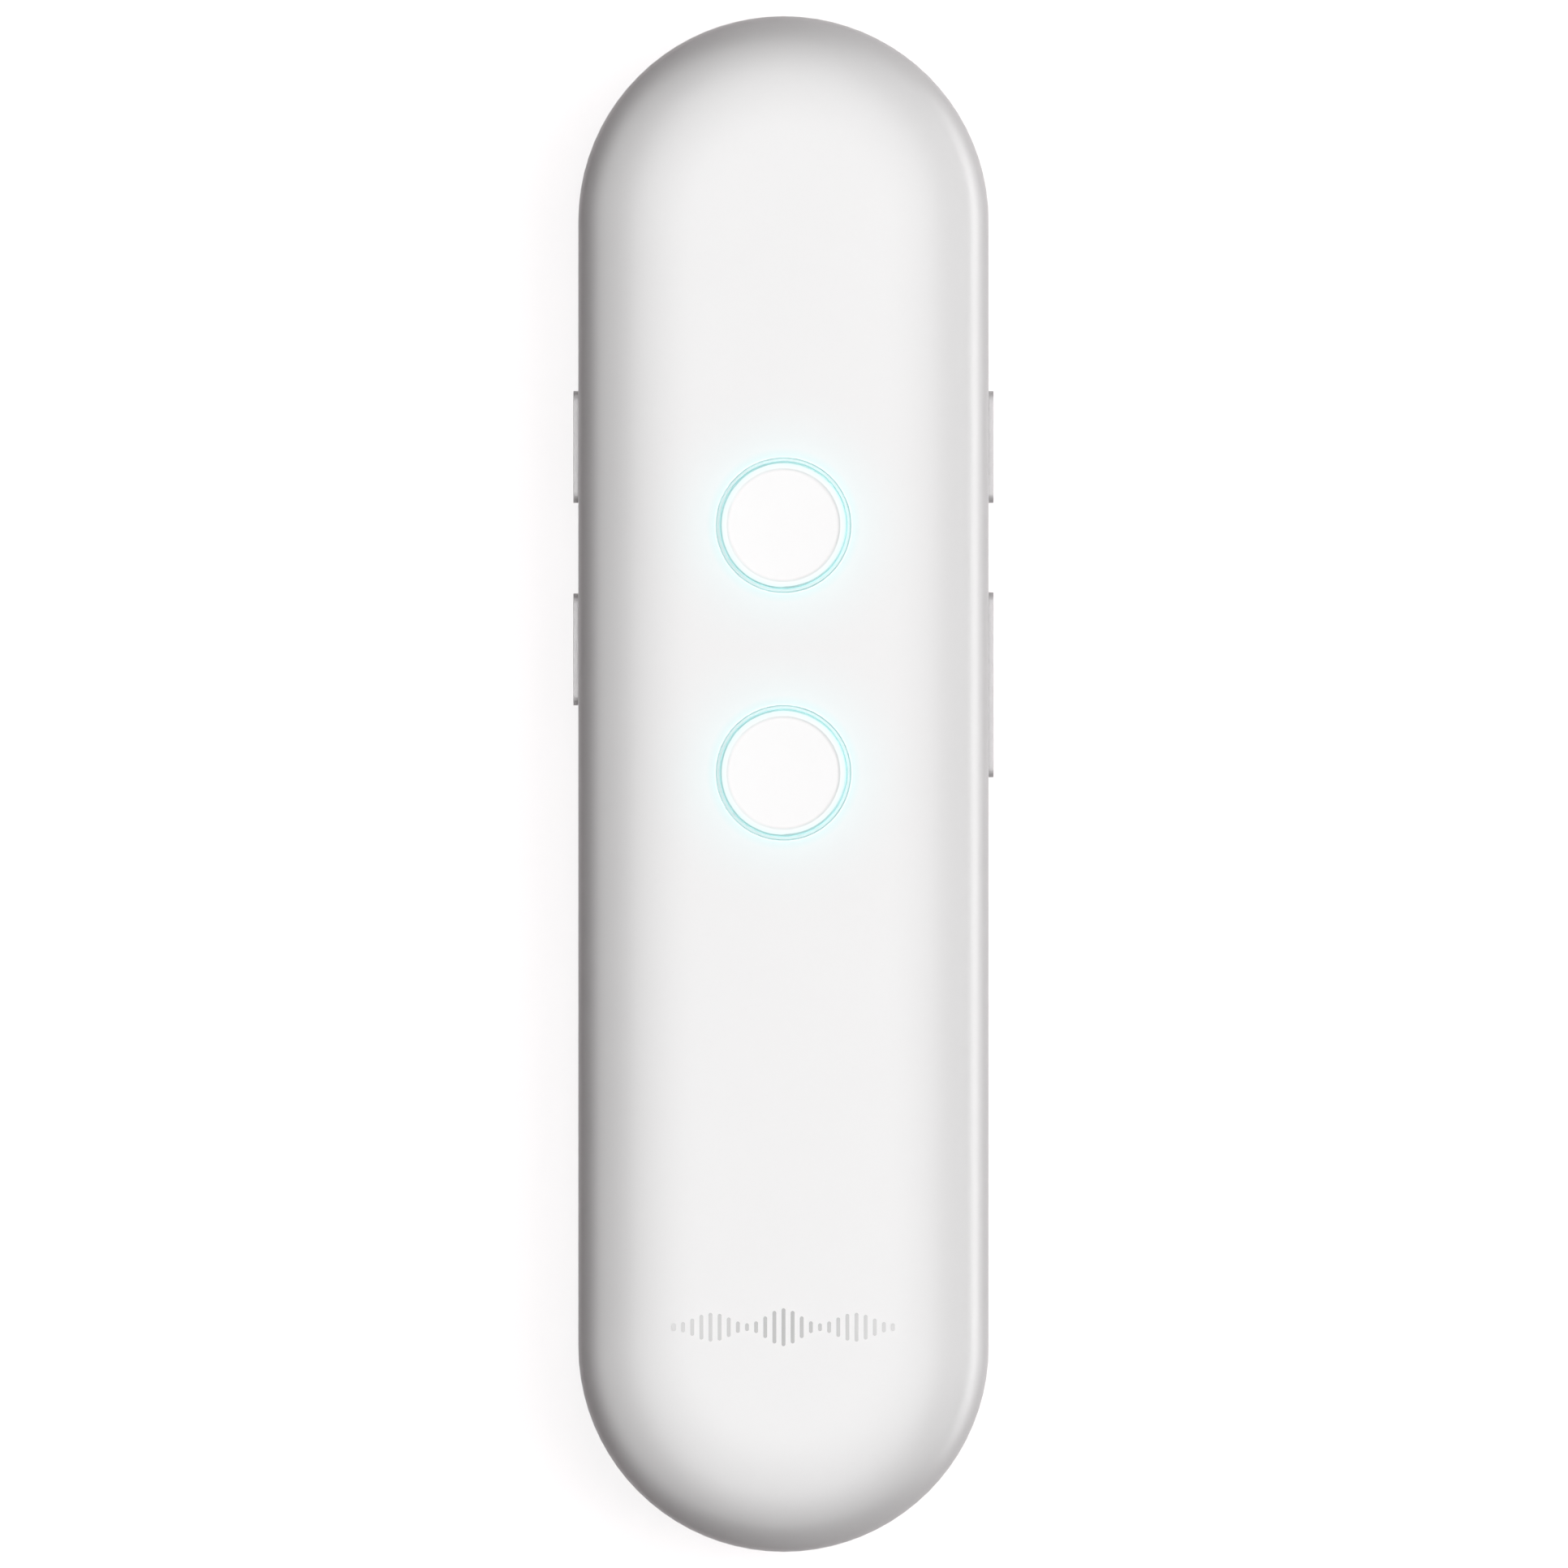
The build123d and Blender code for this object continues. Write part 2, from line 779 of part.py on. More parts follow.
# ---- thumb buttons ----
def talk_button(y):
    """A dished cap with a flange that the light ring holds in, and a foot on the switch's plunger."""
    dish_radius = button_radius - button_rim
    floor_radius = dish_radius - dish_edge_width
    floor_z = button_rim_z - dish_edge_rise
    dish_z = floor_z - dish_sag
    edge = button_edge_radius
    edge_slant = edge * (1 - math.cos(math.radians(45)))
    pocket_top = dish_z - button_top_thickness
    skirt = button_radius - button_skirt
    outline = [
        cap_arc(dish_z, floor_radius, -dish_sag),
        TangentArc((floor_radius, floor_z), (dish_radius, button_rim_z), tangent=(1, 0)),
        Line((dish_radius, button_rim_z), (button_radius - edge, button_rim_z)),
        ThreePointArc(
            (button_radius - edge, button_rim_z),
            (button_radius - edge_slant, button_rim_z - edge_slant),
            (button_radius, button_rim_z - edge),
        ),
        Line((button_radius, button_rim_z - edge), (button_radius, button_flange_top)),
        Line((button_radius, button_flange_top), (button_flange_radius, button_flange_top)),
        Line((button_flange_radius, button_flange_top), (button_flange_radius, button_flange_bottom)),
        Line((button_flange_radius, button_flange_bottom), (skirt, button_flange_bottom)),
        Line((skirt, button_flange_bottom), (skirt, pocket_top)),
        Line((skirt, pocket_top), (button_foot_radius, pocket_top)),
        Line((button_foot_radius, pocket_top), (button_foot_radius, plunger_top)),
        Line((button_foot_radius, plunger_top), (0, plunger_top)),
        Line((0, plunger_top), (0, dish_z)),
    ]
    return turned(0, y, outline)


def light_ring(y):
    """A clear ring that shows as a thin line round the button, with a flange glued behind the face."""
    return turned_polygon(
        0,
        y,
        [
            (ring_bore, ring_bottom),
            (ring_flange_radius, ring_bottom),
            (ring_flange_radius, inner_face_z),
            (ring_radius, inner_face_z),
            (ring_radius, face_z),
            (ring_bore, face_z),
        ],
    )


def talk_switch_housing(y):
    half = talk_switch_side / 2
    body = block((-half, y - half, board_top), (half, y + half, talk_housing_top))
    return body - disc(0, y, talk_floor_z, talk_housing_top, dome_radius + dome_gap)


def talk_switch_cover(y):
    half = talk_switch_side / 2
    plate = block((-half, y - half, talk_housing_top), (half, y + half, talk_cover_top))
    return plate - disc(0, y, talk_housing_top, talk_cover_top, plunger_radius + plunger_hole_gap)


def talk_switch_plunger(y):
    stem = disc(0, y, dome_top, plunger_top, plunger_radius)
    return stem + disc(0, y, dome_top, dome_top + plunger_flange_thickness, plunger_flange_radius)


def talk_switch_dome(y):
    """A thin sprung dome, drawn as the shell between two arcs of one shape."""
    low = talk_floor_z
    under = dome_top - dome_thickness
    outline = [
        cap_arc(dome_top, dome_radius, talk_travel),
        Line((dome_radius, low + dome_thickness), (dome_radius, low)),
        cap_arc(under, dome_radius, talk_travel),
        Line((0, under), (0, dome_top)),
    ]
    return turned(0, y, outline)


# ---- side keys and their switches ----
def key_bar(sign, y, length):
    """The bar that stands out of the side, with its outer rim rounded."""
    bar = side_slot(y, length, key_height, flange_outer, half_width + key_proud, sign)
    outer_face = bar.faces().sort_by(Axis.X)[-1 if sign > 0 else 0]
    return fillet(outer_face.edges(), key_edge_radius)


def side_key(sign, y):
    flange_length = key_length + 2 * key_flange_overlap
    low = key_z - key_height / 2
    high = key_z + key_height / 2
    flange = side_block(y, flange_length, flange_inner, flange_outer, flange_bottom, flange_top, sign)
    nub = side_block(y, key_nub_width, nub_tip, flange_inner, low, high, sign)
    return key_bar(sign, y, key_length) + flange + nub


def volume_rocker():
    """The long key: it turns a little about two upright trunnions, and presses a switch with either end."""
    spine_length = rocker_length - key_height
    low = key_z - key_height / 2
    high = key_z + key_height / 2
    rocker = key_bar(1, rocker_y, rocker_length)
    rocker += side_block(rocker_y, spine_length, flange_inner, flange_outer, low, high, 1)
    flange = (flange_inner, flange_outer, flange_bottom, flange_top)
    rocker += side_block(rocker_y, rocker_flange_length, *flange, 1)
    hub_x = flange_outer - rocker_hub_depth
    rocker += side_block(rocker_y, rocker_hub_length, hub_x, *flange[1:], 1)
    pin_low = flange_bottom - trunnion_length
    pin_high = flange_top + trunnion_length
    rocker += disc(rocker_axis_x, rocker_y, pin_low, pin_high, trunnion_radius)
    for offset in (-rocker_nub_offset, rocker_nub_offset):
        rocker += rocker_nub(rocker_y + offset)
    return rocker


def rocker_nub(y):
    """A nub with a round nose, which stays touching the plunger as the rocker turns."""
    nose_x = nub_tip + rocker_nub_radius
    low = key_z - key_height / 2
    high = key_z + key_height / 2
    nose = disc(nose_x, y, low, high, rocker_nub_radius)
    return nose + side_block(y, 2 * rocker_nub_radius, nose_x, flange_outer, low, high, 1)


def side_plunger(sign, y, tip_gap):
    """The small square plunger of a side switch. It reaches from inside the housing to the key."""
    half = side_plunger_height / 2
    low_x = board_half - side_plunger_inside
    return side_block(y, side_plunger_width, low_x, nub_tip - tip_gap, key_z - half, key_z + half, sign)


def side_switch_housing(sign, y):
    far = board_half - side_switch_depth
    low = board_bottom - side_switch_height
    body = side_block(y, side_switch_width, far, board_half, low, board_bottom, sign)
    half = side_plunger_height / 2 + side_plunger_gap
    width = side_plunger_width + 2 * side_plunger_gap
    throat_x = board_half - side_plunger_inside - key_travel - side_plunger_gap
    return body - side_block(y, width, throat_x, board_half, key_z - half, key_z + half, sign)


def side_switch_frame(sign, y):
    """The sheet-metal clip under and beside a side switch's housing."""
    width = side_switch_width + 2 * side_frame_thickness
    low = board_bottom - side_switch_height - side_frame_thickness
    far = board_half - side_switch_depth
    outer = side_block(y, width, far, board_half - side_frame_thickness, low, board_bottom, sign)
    inside_low = board_bottom - side_switch_height
    return outer - side_block(y, side_switch_width, far, board_half, inside_low, board_bottom, sign)


# ---- board and what is on it ----
def main_board():
    outline = SlotOverall(2 * board_end, 2 * board_half, rotation=90)
    board = Pos(0, 0, board_bottom) * extrude(outline, amount=board_thickness)
    boss_hole = case_boss_radius + boss_hole_gap
    screw_hole = board_screw_radius + screw_clearance
    cuts = [disc(x, y, board_bottom, board_top, boss_hole) for x, y in case_screw_spots]
    cuts += [disc(x, y, board_bottom, board_top, screw_hole) for x, y in board_screw_spots]
    return board - cuts - usb_legs(usb_leg_gap)


def on_board(x, y, across, along, height):
    """A chip that stands on the board's upper side."""
    low = (x - across / 2, y - along / 2, board_top)
    return block(low, (x + across / 2, y + along / 2, board_top + height))


def under_board(x, y, across, along, height):
    """A chip that hangs on the board's lower side."""
    low = (x - across / 2, y - along / 2, board_bottom - height)
    return block(low, (x + across / 2, y + along / 2, board_bottom))


def radio_shield():
    can = on_board(0, shield_y, shield_width, shield_length, shield_height)
    inside = (shield_width - 2 * shield_wall, shield_length - 2 * shield_wall)
    return can - on_board(0, shield_y, *inside, shield_height - shield_wall)


def processor():
    return on_board(-chip_spread, shield_y + shield_wall, processor_side, processor_side, processor_height)


def memory():
    return on_board(chip_spread, shield_y + shield_wall, memory_width, memory_length, memory_height)


def crystal():
    y = shield_y - shield_length / 2 + shield_wall + crystal_from_shield + crystal_width / 2
    return on_board(chip_spread, y, crystal_length, crystal_width, crystal_height)


def amplifier():
    y = speaker_y - amplifier_from_speaker
    return on_board(0, y, amplifier_side, amplifier_side, small_chip_height)


def charger():
    y = usb_back_y + charger_from_socket
    return on_board(-amplifier_side, y, charger_side, charger_side, small_chip_height)


def inductor():
    y = speaker_y - amplifier_from_speaker
    body = on_board(inductor_x, y, inductor_side, inductor_side, inductor_height)
    return fillet(body.edges().filter_by(Axis.Z), inductor_corner)


def antenna():
    y = board_end - antenna_from_end
    return on_board(0, y, antenna_length, antenna_width, antenna_height)


def ring_leds():
    """Lamps under both light rings, evenly round each."""
    lamps = []
    for y in button_ys:
        for k in range(leds_per_ring):
            angle = 360 * (k + 0.5) / leds_per_ring
            lamp = on_board(led_circle_radius, 0, led_width, led_length, led_height)
            lamps.append(Pos(0, y, 0) * Rot(0, 0, angle) * lamp)
    return group(lamps)


def passive_row(y, across, along, height):
    start = -passive_pitch * (passives_per_row - 1) / 2
    return group(
        on_board(start + k * passive_pitch, y, across, along, height) for k in range(passives_per_row)
    )


def capacitors():
    y = shield_y + shield_length / 2 + passives_from_shield / 2
    return passive_row(y, capacitor_width, capacitor_length, capacitor_height)


def resistors():
    y = shield_y - shield_length / 2 - passives_from_shield / 2
    return passive_row(y, resistor_width, resistor_length, resistor_height)


# ---- charging socket ----
def usb_legs(gap):
    """Four legs that go up from the socket's sides through the board, grown all round by a gap."""
    low_z = usb_z - gap
    high_z = board_top + usb_leg_above_board + gap
    low_x = usb_width / 2 - usb_wall - gap
    return [
        side_block(y, usb_leg_width + 2 * gap, low_x, usb_width / 2 + gap, low_z, high_z, sign)
        for sign in (-1, 1)
        for y in (usb_leg_y - usb_leg_spacing / 2, usb_leg_y + usb_leg_spacing / 2)
    ]


def usb_shell():
    """The socket's steel tube, open at the mouth and closed behind, with its legs."""
    tube_body = socket_form(0, usb_mouth_y, usb_back_y)
    hollow = socket_form(-usb_wall, usb_mouth_y, usb_back_y - usb_wall)
    return tube_body - hollow + usb_legs(0)


def usb_insulator():
    """The moulded block at the back of the socket, with the tongue that a plug slides over."""
    fit = usb_wall + screw_gap
    back_low = usb_back_y - fit - usb_back
    base = socket_form(-fit, back_low, usb_back_y - fit)
    half = tongue_thickness / 2
    tongue = block(
        (-tongue_width / 2, usb_mouth_y + tongue_front_gap, usb_z - half),
        (tongue_width / 2, back_low + half, usb_z + half),
    )
    return base + tongue


def usb_contacts():
    """Flat contacts on both sides of the tongue."""
    pads = []
    first = -contact_pitch * (contacts_per_side - 1) / 2
    low_y = usb_mouth_y + tongue_front_gap + contact_setback
    for side in (-1, 1):
        face = usb_z + side * tongue_thickness / 2
        heights = sorted((face, face + side * contact_thickness))
        for k in range(contacts_per_side):
            x = first + k * contact_pitch
            low = (x - contact_width / 2, low_y, heights[0])
            pads.append(block(low, (x + contact_width / 2, low_y + contact_length, heights[1])))
    return group(pads)


# ---- microphones ----
def mic_place(x, towards):
    """The middle of a microphone along Y, just inside the board's round end."""
    edge = end_centre + math.sqrt(board_half**2 - x**2)
    return towards * (edge - mic_board_inset - mic_length / 2)


def microphone(x, towards):
    return under_board(x, mic_place(x, towards), mic_width, mic_length, mic_height)


def mic_boot(x, towards):
    """A soft boot round a microphone that seals it to its sound hole in the end wall."""
    y = mic_place(x, towards)
    half_width_boot = mic_width / 2 + mic_boot_wall
    near = y - towards * (mic_length / 2 + mic_boot_wall)
    reach = end_centre + math.sqrt(cavity_half**2 - (abs(x) + half_width_boot) ** 2) - mic_boot_gap
    ends = sorted((near, towards * reach))
    low = (x - half_width_boot, ends[0], board_bottom - mic_height - mic_boot_wall)
    boot = block(low, (x + half_width_boot, ends[1], board_bottom))
    pocket = under_board(
        x, y, mic_width + 2 * mic_boot_gap, mic_length + 2 * mic_boot_gap, mic_height + mic_boot_gap
    )
    channel = Rot(90, 0, 0) * Cylinder(mic_hole_radius, body_width / 2)
    return boot - pocket - Pos(x, y + towards * body_width / 4, key_z) * channel


# ---- battery ----
def battery_cell():
    low = (-battery_width / 2, battery_low_y, battery_bottom)
    cell = block(low, (battery_width / 2, battery_high_y, battery_bottom + battery_thickness))
    return fillet(cell.edges().filter_by(Axis.Y), battery_edge_radius)


def battery_pad():
    half = battery_width / 2 - tape_inset
    low = (-half, battery_low_y + tape_inset, wall)
    return block(low, (half, battery_high_y - tape_inset, battery_bottom))


def protection_board():
    low_y = battery_high_y + protection_gap
    half = protection_thickness / 2
    low = (-protection_width / 2, low_y, protection_z - half)
    return block(low, (protection_width / 2, low_y + protection_length, protection_z + half))


def battery_plug():
    half = battery_plug_height / 2
    low = (-battery_plug_width / 2, battery_plug_y, battery_plug_z - half)
    return block(low, (battery_plug_width / 2, battery_plug_y + battery_plug_length, battery_plug_z + half))


def battery_socket():
    """The board's battery socket, open towards the battery, with the plug inside it."""
    half_x = battery_plug_width / 2 + screw_gap
    half_z = battery_plug_height / 2 + screw_gap
    low_z = battery_plug_z - half_z
    high_y = battery_plug_y + battery_plug_length
    out_x = half_x + battery_socket_wall
    mouth_y = battery_plug_y + battery_plug_bare
    low = (-out_x, mouth_y, low_z - battery_socket_wall)
    body = block(low, (out_x, high_y + battery_socket_back, board_bottom))
    return body - block((-half_x, mouth_y, low_z), (half_x, high_y + screw_gap, battery_plug_z + half_z))


def battery_lead(side):
    """One wire from the protection board up to the plug, in a soft S."""
    x = side * lead_spacing / 2
    start_y = battery_high_y + protection_gap + protection_length
    low_z = protection_z
    high_z = battery_plug_z
    run = battery_plug_y - start_y
    points = [
        (x, start_y, low_z),
        (x, start_y + run / 3, low_z),
        (x, start_y + 2 * run / 3, high_z),
        (x, start_y + run, high_z),
    ]
    return round_lead(points, lead_bend_radius, lead_radius)


# ---- loudspeaker ----
def speaker_frame():
    """The moulded frame: a wide rim at the front, a wall, and a roof with a hole for the magnet's yoke."""
    low = speaker_front_z
    rim_top = low + speaker_rim_height
    roof_top = speaker_back_z - yoke_thickness
    roof_low = roof_top - yoke_thickness
    outer = speaker_radius - speaker_rim_width / 2
    return turned_polygon(
        0,
        speaker_y,
        [
            (speaker_radius - speaker_rim_width, low),
            (speaker_radius, low),
            (speaker_radius, rim_top),
            (outer, rim_top),
            (outer, roof_top),
            (yoke_radius + speaker_fit, roof_top),
            (yoke_radius + speaker_fit, roof_low),
            (outer - speaker_wall, roof_low),
            (outer - speaker_wall, rim_top),
            (speaker_radius - speaker_rim_width, rim_top),
        ],
    )


def yoke_low_z():
    return speaker_back_z - yoke_thickness - magnet_thickness - pole_thickness


def speaker_yoke():
    """The steel cup that carries the magnet and closes its field round the coil."""
    cup = disc(0, speaker_y, yoke_low_z(), speaker_back_z, yoke_radius)
    inside = yoke_radius - yoke_thickness
    return cup - disc(0, speaker_y, yoke_low_z(), speaker_back_z - yoke_thickness, inside)


def speaker_magnet():
    high = speaker_back_z - yoke_thickness
    return disc(0, speaker_y, high - magnet_thickness, high, magnet_radius)


def speaker_pole():
    return disc(0, speaker_y, yoke_low_z(), yoke_low_z() + pole_thickness, pole_radius)


def coil_low_z():
    return yoke_low_z() + pole_thickness / 2 + magnet_thickness / 2 - coil_height


def speaker_coil():
    low = coil_low_z()
    return tube(0, speaker_y, low, low + coil_height, coil_radius + coil_thickness, coil_radius)


def speaker_cone():
    """A thin cone that slopes out from the coil, with a shallow dome over the coil's mouth."""
    low = coil_low_z()
    inner = coil_radius + coil_thickness
    dome_low = low - cone_dome_rise
    t = cone_thickness
    outline = [
        cap_arc(dome_low, inner, -cone_dome_rise),
        Line((inner, low), (cone_radius, low - cone_rise)),
        Line((cone_radius, low - cone_rise), (cone_radius, low - cone_rise - t)),
        Line((cone_radius, low - cone_rise - t), (inner, low - t)),
        cap_arc(dome_low - t, inner, -cone_dome_rise),
        Line((0, dome_low - t), (0, dome_low)),
    ]
    return turned(0, speaker_y, outline)


def speaker_surround():
    """The soft half roll between the cone's edge and the frame."""
    top = coil_low_z() - cone_rise - cone_thickness
    low = top - cone_thickness
    inner = cone_radius - surround_land
    roll_start = cone_radius + surround_land
    outer = speaker_radius - speaker_rim_width
    roll_end = outer - surround_land
    middle = (roll_start + roll_end) / 2
    outline = [
        Line((inner, top), (roll_start, top)),
        ThreePointArc((roll_start, top), (middle, top - surround_roll_height), (roll_end, top)),
        Line((roll_end, top), (outer, top)),
        Line((outer, top), (outer, low)),
        Line((outer, low), (roll_end, low)),
        ThreePointArc((roll_end, low), (middle, low - surround_roll_height), (roll_start, low)),
        Line((roll_start, low), (inner, low)),
        Line((inner, low), (inner, top)),
    ]
    return turned(0, speaker_y, outline)


def speaker_gasket():
    return tube(0, speaker_y, wall, speaker_front_z, speaker_radius, speaker_radius - gasket_width)


def speaker_mesh():
    radius = speaker_radius - gasket_width - mesh_gap
    return disc(0, speaker_y, wall, wall + mesh_thickness, radius)


def speaker_lead(side):
    """One wire from the frame's side, out and up to the board."""
    x = side * speaker_lead_spacing / 2
    z = speaker_front_z + speaker_rim_height + speaker_lead_above_rim
    rim = speaker_radius - speaker_rim_width / 2
    start_y = speaker_y + math.sqrt(rim**2 - x**2)
    points = [
        (x, start_y, z),
        (x, start_y + speaker_lead_out, z),
        (x, start_y + speaker_lead_out, board_bottom),
    ]
    return round_lead(points, speaker_lead_bend, speaker_lead_radius)


# ---- write one file for each piece ----
nodes = {
    "front_shell": front_shell(),
    "rear_shell": rear_shell(),
    "case_screws": case_screws(),
    "screw_plugs": screw_plugs(),
    "upper_talk_button": talk_button(upper_button_y),
    "lower_talk_button": talk_button(lower_button_y),
    "upper_light_ring": light_ring(upper_button_y),
    "lower_light_ring": light_ring(lower_button_y),
    "talk_switch_housings": group(talk_switch_housing(y) for y in button_ys),
    "talk_switch_covers": group(talk_switch_cover(y) for y in button_ys),
    "upper_switch_plunger": talk_switch_plunger(upper_button_y),
    "lower_switch_plunger": talk_switch_plunger(lower_button_y),
    "upper_switch_dome": talk_switch_dome(upper_button_y),
    "lower_switch_dome": talk_switch_dome(lower_button_y),
    "power_key": side_key(-1, power_key_y),
    "mode_key": side_key(-1, mode_key_y),
    "replay_key": side_key(1, replay_key_y),
    "volume_rocker": volume_rocker(),
    "power_key_plunger": side_plunger(-1, power_key_y, 0),
    "mode_key_plunger": side_plunger(-1, mode_key_y, 0),
    "replay_key_plunger": side_plunger(1, replay_key_y, 0),
    "volume_up_plunger": side_plunger(1, rocker_y + rocker_nub_offset, nub_gap),
    "volume_down_plunger": side_plunger(1, rocker_y - rocker_nub_offset, nub_gap),
    "side_switch_housings": group(side_switch_housing(sign, y) for sign, y in side_switches),
    "side_switch_frames": group(side_switch_frame(sign, y) for sign, y in side_switches),
    "main_board": main_board(),
    "board_screws": board_screws(),
    "radio_shield": radio_shield(),
    "processor_chip": processor(),
    "memory_chip": memory(),
    "crystal": crystal(),
    "amplifier_chip": amplifier(),
    "charger_chip": charger(),
    "power_inductor": inductor(),
    "radio_antenna": antenna(),
    "ring_lamps": ring_leds(),
    "capacitors": capacitors(),
    "resistors": resistors(),
    "usb_shell": usb_shell(),
    "usb_insulator": usb_insulator(),
    "usb_contacts": usb_contacts(),
    "top_microphone": microphone(0, 1),
    "bottom_microphone": microphone(bottom_mic_x, -1),
    "top_microphone_boot": mic_boot(0, 1),
    "bottom_microphone_boot": mic_boot(bottom_mic_x, -1),
    "battery_cell": battery_cell(),
    "battery_pad": battery_pad(),
    "battery_protection_board": protection_board(),
    "battery_plug": battery_plug(),
    "battery_socket": battery_socket(),
    "battery_lead_positive": battery_lead(1),
    "battery_lead_negative": battery_lead(-1),
    "speaker_frame": speaker_frame(),
    "speaker_magnet_assembly": group([speaker_yoke(), speaker_magnet(), speaker_pole()]),
    "speaker_cone": speaker_cone(),
    "speaker_voice_coil": speaker_coil(),
    "speaker_surround": speaker_surround(),
    "speaker_gasket": speaker_gasket(),
    "speaker_mesh": speaker_mesh(),
    "speaker_leads": group([speaker_lead(-1), speaker_lead(1)]),
}

os.makedirs("parts", exist_ok=True)
for name, shape in nodes.items():
    export_step(shape, f"parts/{name}.step")
print(len(nodes), "nodes")
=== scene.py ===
"""Looks for a capsule-shaped pocket voice translator.

It gives every piece its finish, adds the silver face mark, the soft screw plugs and the pieces that give way as
something moves, and sets up the floor, the light and the camera.

Lengths are in metres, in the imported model's frame: the back lies on z = 0, the face looks up along +Z, and +Y
points to the top end.
"""

import json
import math

import bpy
import numpy as np
from mathutils import Matrix, Vector

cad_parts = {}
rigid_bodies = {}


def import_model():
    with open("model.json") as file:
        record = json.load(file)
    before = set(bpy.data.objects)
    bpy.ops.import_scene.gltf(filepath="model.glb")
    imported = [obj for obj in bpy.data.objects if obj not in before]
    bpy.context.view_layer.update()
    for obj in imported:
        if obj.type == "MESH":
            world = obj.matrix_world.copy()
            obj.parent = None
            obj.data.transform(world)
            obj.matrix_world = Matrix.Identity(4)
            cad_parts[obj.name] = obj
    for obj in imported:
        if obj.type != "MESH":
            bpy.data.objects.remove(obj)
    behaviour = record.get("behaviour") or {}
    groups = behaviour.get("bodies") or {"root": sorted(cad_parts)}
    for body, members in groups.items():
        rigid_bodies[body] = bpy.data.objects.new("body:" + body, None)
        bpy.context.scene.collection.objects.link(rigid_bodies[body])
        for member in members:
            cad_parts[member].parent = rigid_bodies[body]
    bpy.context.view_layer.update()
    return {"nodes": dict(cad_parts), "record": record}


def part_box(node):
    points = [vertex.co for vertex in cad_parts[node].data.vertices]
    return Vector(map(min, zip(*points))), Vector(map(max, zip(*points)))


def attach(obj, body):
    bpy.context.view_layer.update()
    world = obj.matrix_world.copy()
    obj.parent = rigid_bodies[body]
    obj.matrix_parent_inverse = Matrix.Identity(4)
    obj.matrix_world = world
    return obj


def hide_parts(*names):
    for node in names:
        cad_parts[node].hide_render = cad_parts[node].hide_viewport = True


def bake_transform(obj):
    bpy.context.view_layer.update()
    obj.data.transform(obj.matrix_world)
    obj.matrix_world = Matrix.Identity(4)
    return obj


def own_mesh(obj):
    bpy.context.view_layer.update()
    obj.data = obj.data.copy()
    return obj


MM = 0.001

for start_object in list(bpy.data.objects):
    bpy.data.objects.remove(start_object)

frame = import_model()
nodes = frame["nodes"]

# ---- places read from the frame ----
face_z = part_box("front_shell")[1].z
back_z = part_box("rear_shell")[0].z
ring_spots = [(low + high) / 2 for low, high in (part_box("upper_light_ring"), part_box("lower_light_ring"))]
plugs_low, plugs_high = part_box("screw_plugs")
surround_low, surround_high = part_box("speaker_surround")
surround_spot = (surround_low + surround_high) / 2

# ---- the casing's rolled edges: radius and turn in degrees of each arc, from the flat out to the wall ----
# The radii are in mm before they are scaled so that together they fill the depth.
half_width = 18.5 * MM
middle_line = 50.7 * MM  # half the length of the straight line that the casing is carried round
front_roll = ((24.0, 12.0), (12.0, 16.0), (6.0, 22.0), (2.6, 40.0))
front_depth = 4.8 * MM
rear_roll = ((8.0, 37.0), (3.0, 53.0))
rear_depth = 4.0 * MM
roll_match = (0.98, 0.99)  # cosines between which the mesh's own normal gives way to the exact one

# ---- colours ----
SHELL_WHITE = "#F3F3F3"
# painted glow: the face's tint beside the light rings
SHELL_RING_GLOW_TINT = "#E4F3F3"
CAP_WHITE = "#FAFAFA"
# painted glow: the caps' tint at their rim beside the light rings
CAP_RING_GLOW_TINT = "#CCF6F6"
RING_BLUE = "#CAE3E3"
RING_LIGHT = "#D0FFFF"
HALO_LIGHT = "#00FAFF"
EDGE_LIGHT = "#E8FFFF"
KEY_WHITE = "#BEBCBD"
# painted light: the paler colour of the keys on the shaded side
PAINTED_LIGHT_KEY_WHITE = "#E0DEDF"
FOIL_MIDDLE = "#9C9C9C"
FOIL_END = "#D4D4D4"
FLOOR_PALE = "#C8BEC0"
FILL_TINT = "#FFEEF0"

# ---- the light in the rings, and the glow of it painted round them ----
ring_radius = 6.0 * MM
shell_stain_reach = 1.0 * MM
halo_reach = 7.5 * MM
halo_strength = 0.078
halo_power = 2.2  # the halo goes as this power of the share of its reach that is left
hole_edge_reach = 0.3 * MM
hole_edge_glow = 0.24
cap_rim = 5.65 * MM
cap_rim_reach = 0.75 * MM
cap_rim_glow = 0.22
cap_glow = 0.02
ring_glow = 0.04

# ---- the silver mark ----
mark_centre_y = -48.8 * MM
mark_pitch = 0.82 * MM
mark_bars = 25
mark_bar_width = 0.34 * MM
mark_thickness = 0.02 * MM
mark_tallest = 3.4 * MM
mark_shortest = 0.7 * MM
mark_end_fall = 0.45  # share by which the bars are lower at the row's ends
mark_cap_steps = 10

# ---- the soft plugs over the casing's screws ----
plug_radius = 1.6 * MM
plug_edge = 0.2 * MM
plug_dimple = 0.12 * MM
plug_edge_steps = 8
turn_steps = 64  # of every turned piece

# ---- the soft and springy pieces that give way as a button or the loudspeaker's cone moves ----
dome_thickness = 0.1 * MM
dome_steps = 16
surround_thickness = 0.12 * MM
surround_inner = 6.78 * MM
roll_start, roll_end = 7.02 * MM, 7.88 * MM
roll_steps = 13
surround_parts = 12  # the ring is parted, because a piece bends along one straight line only
part_steps = 6

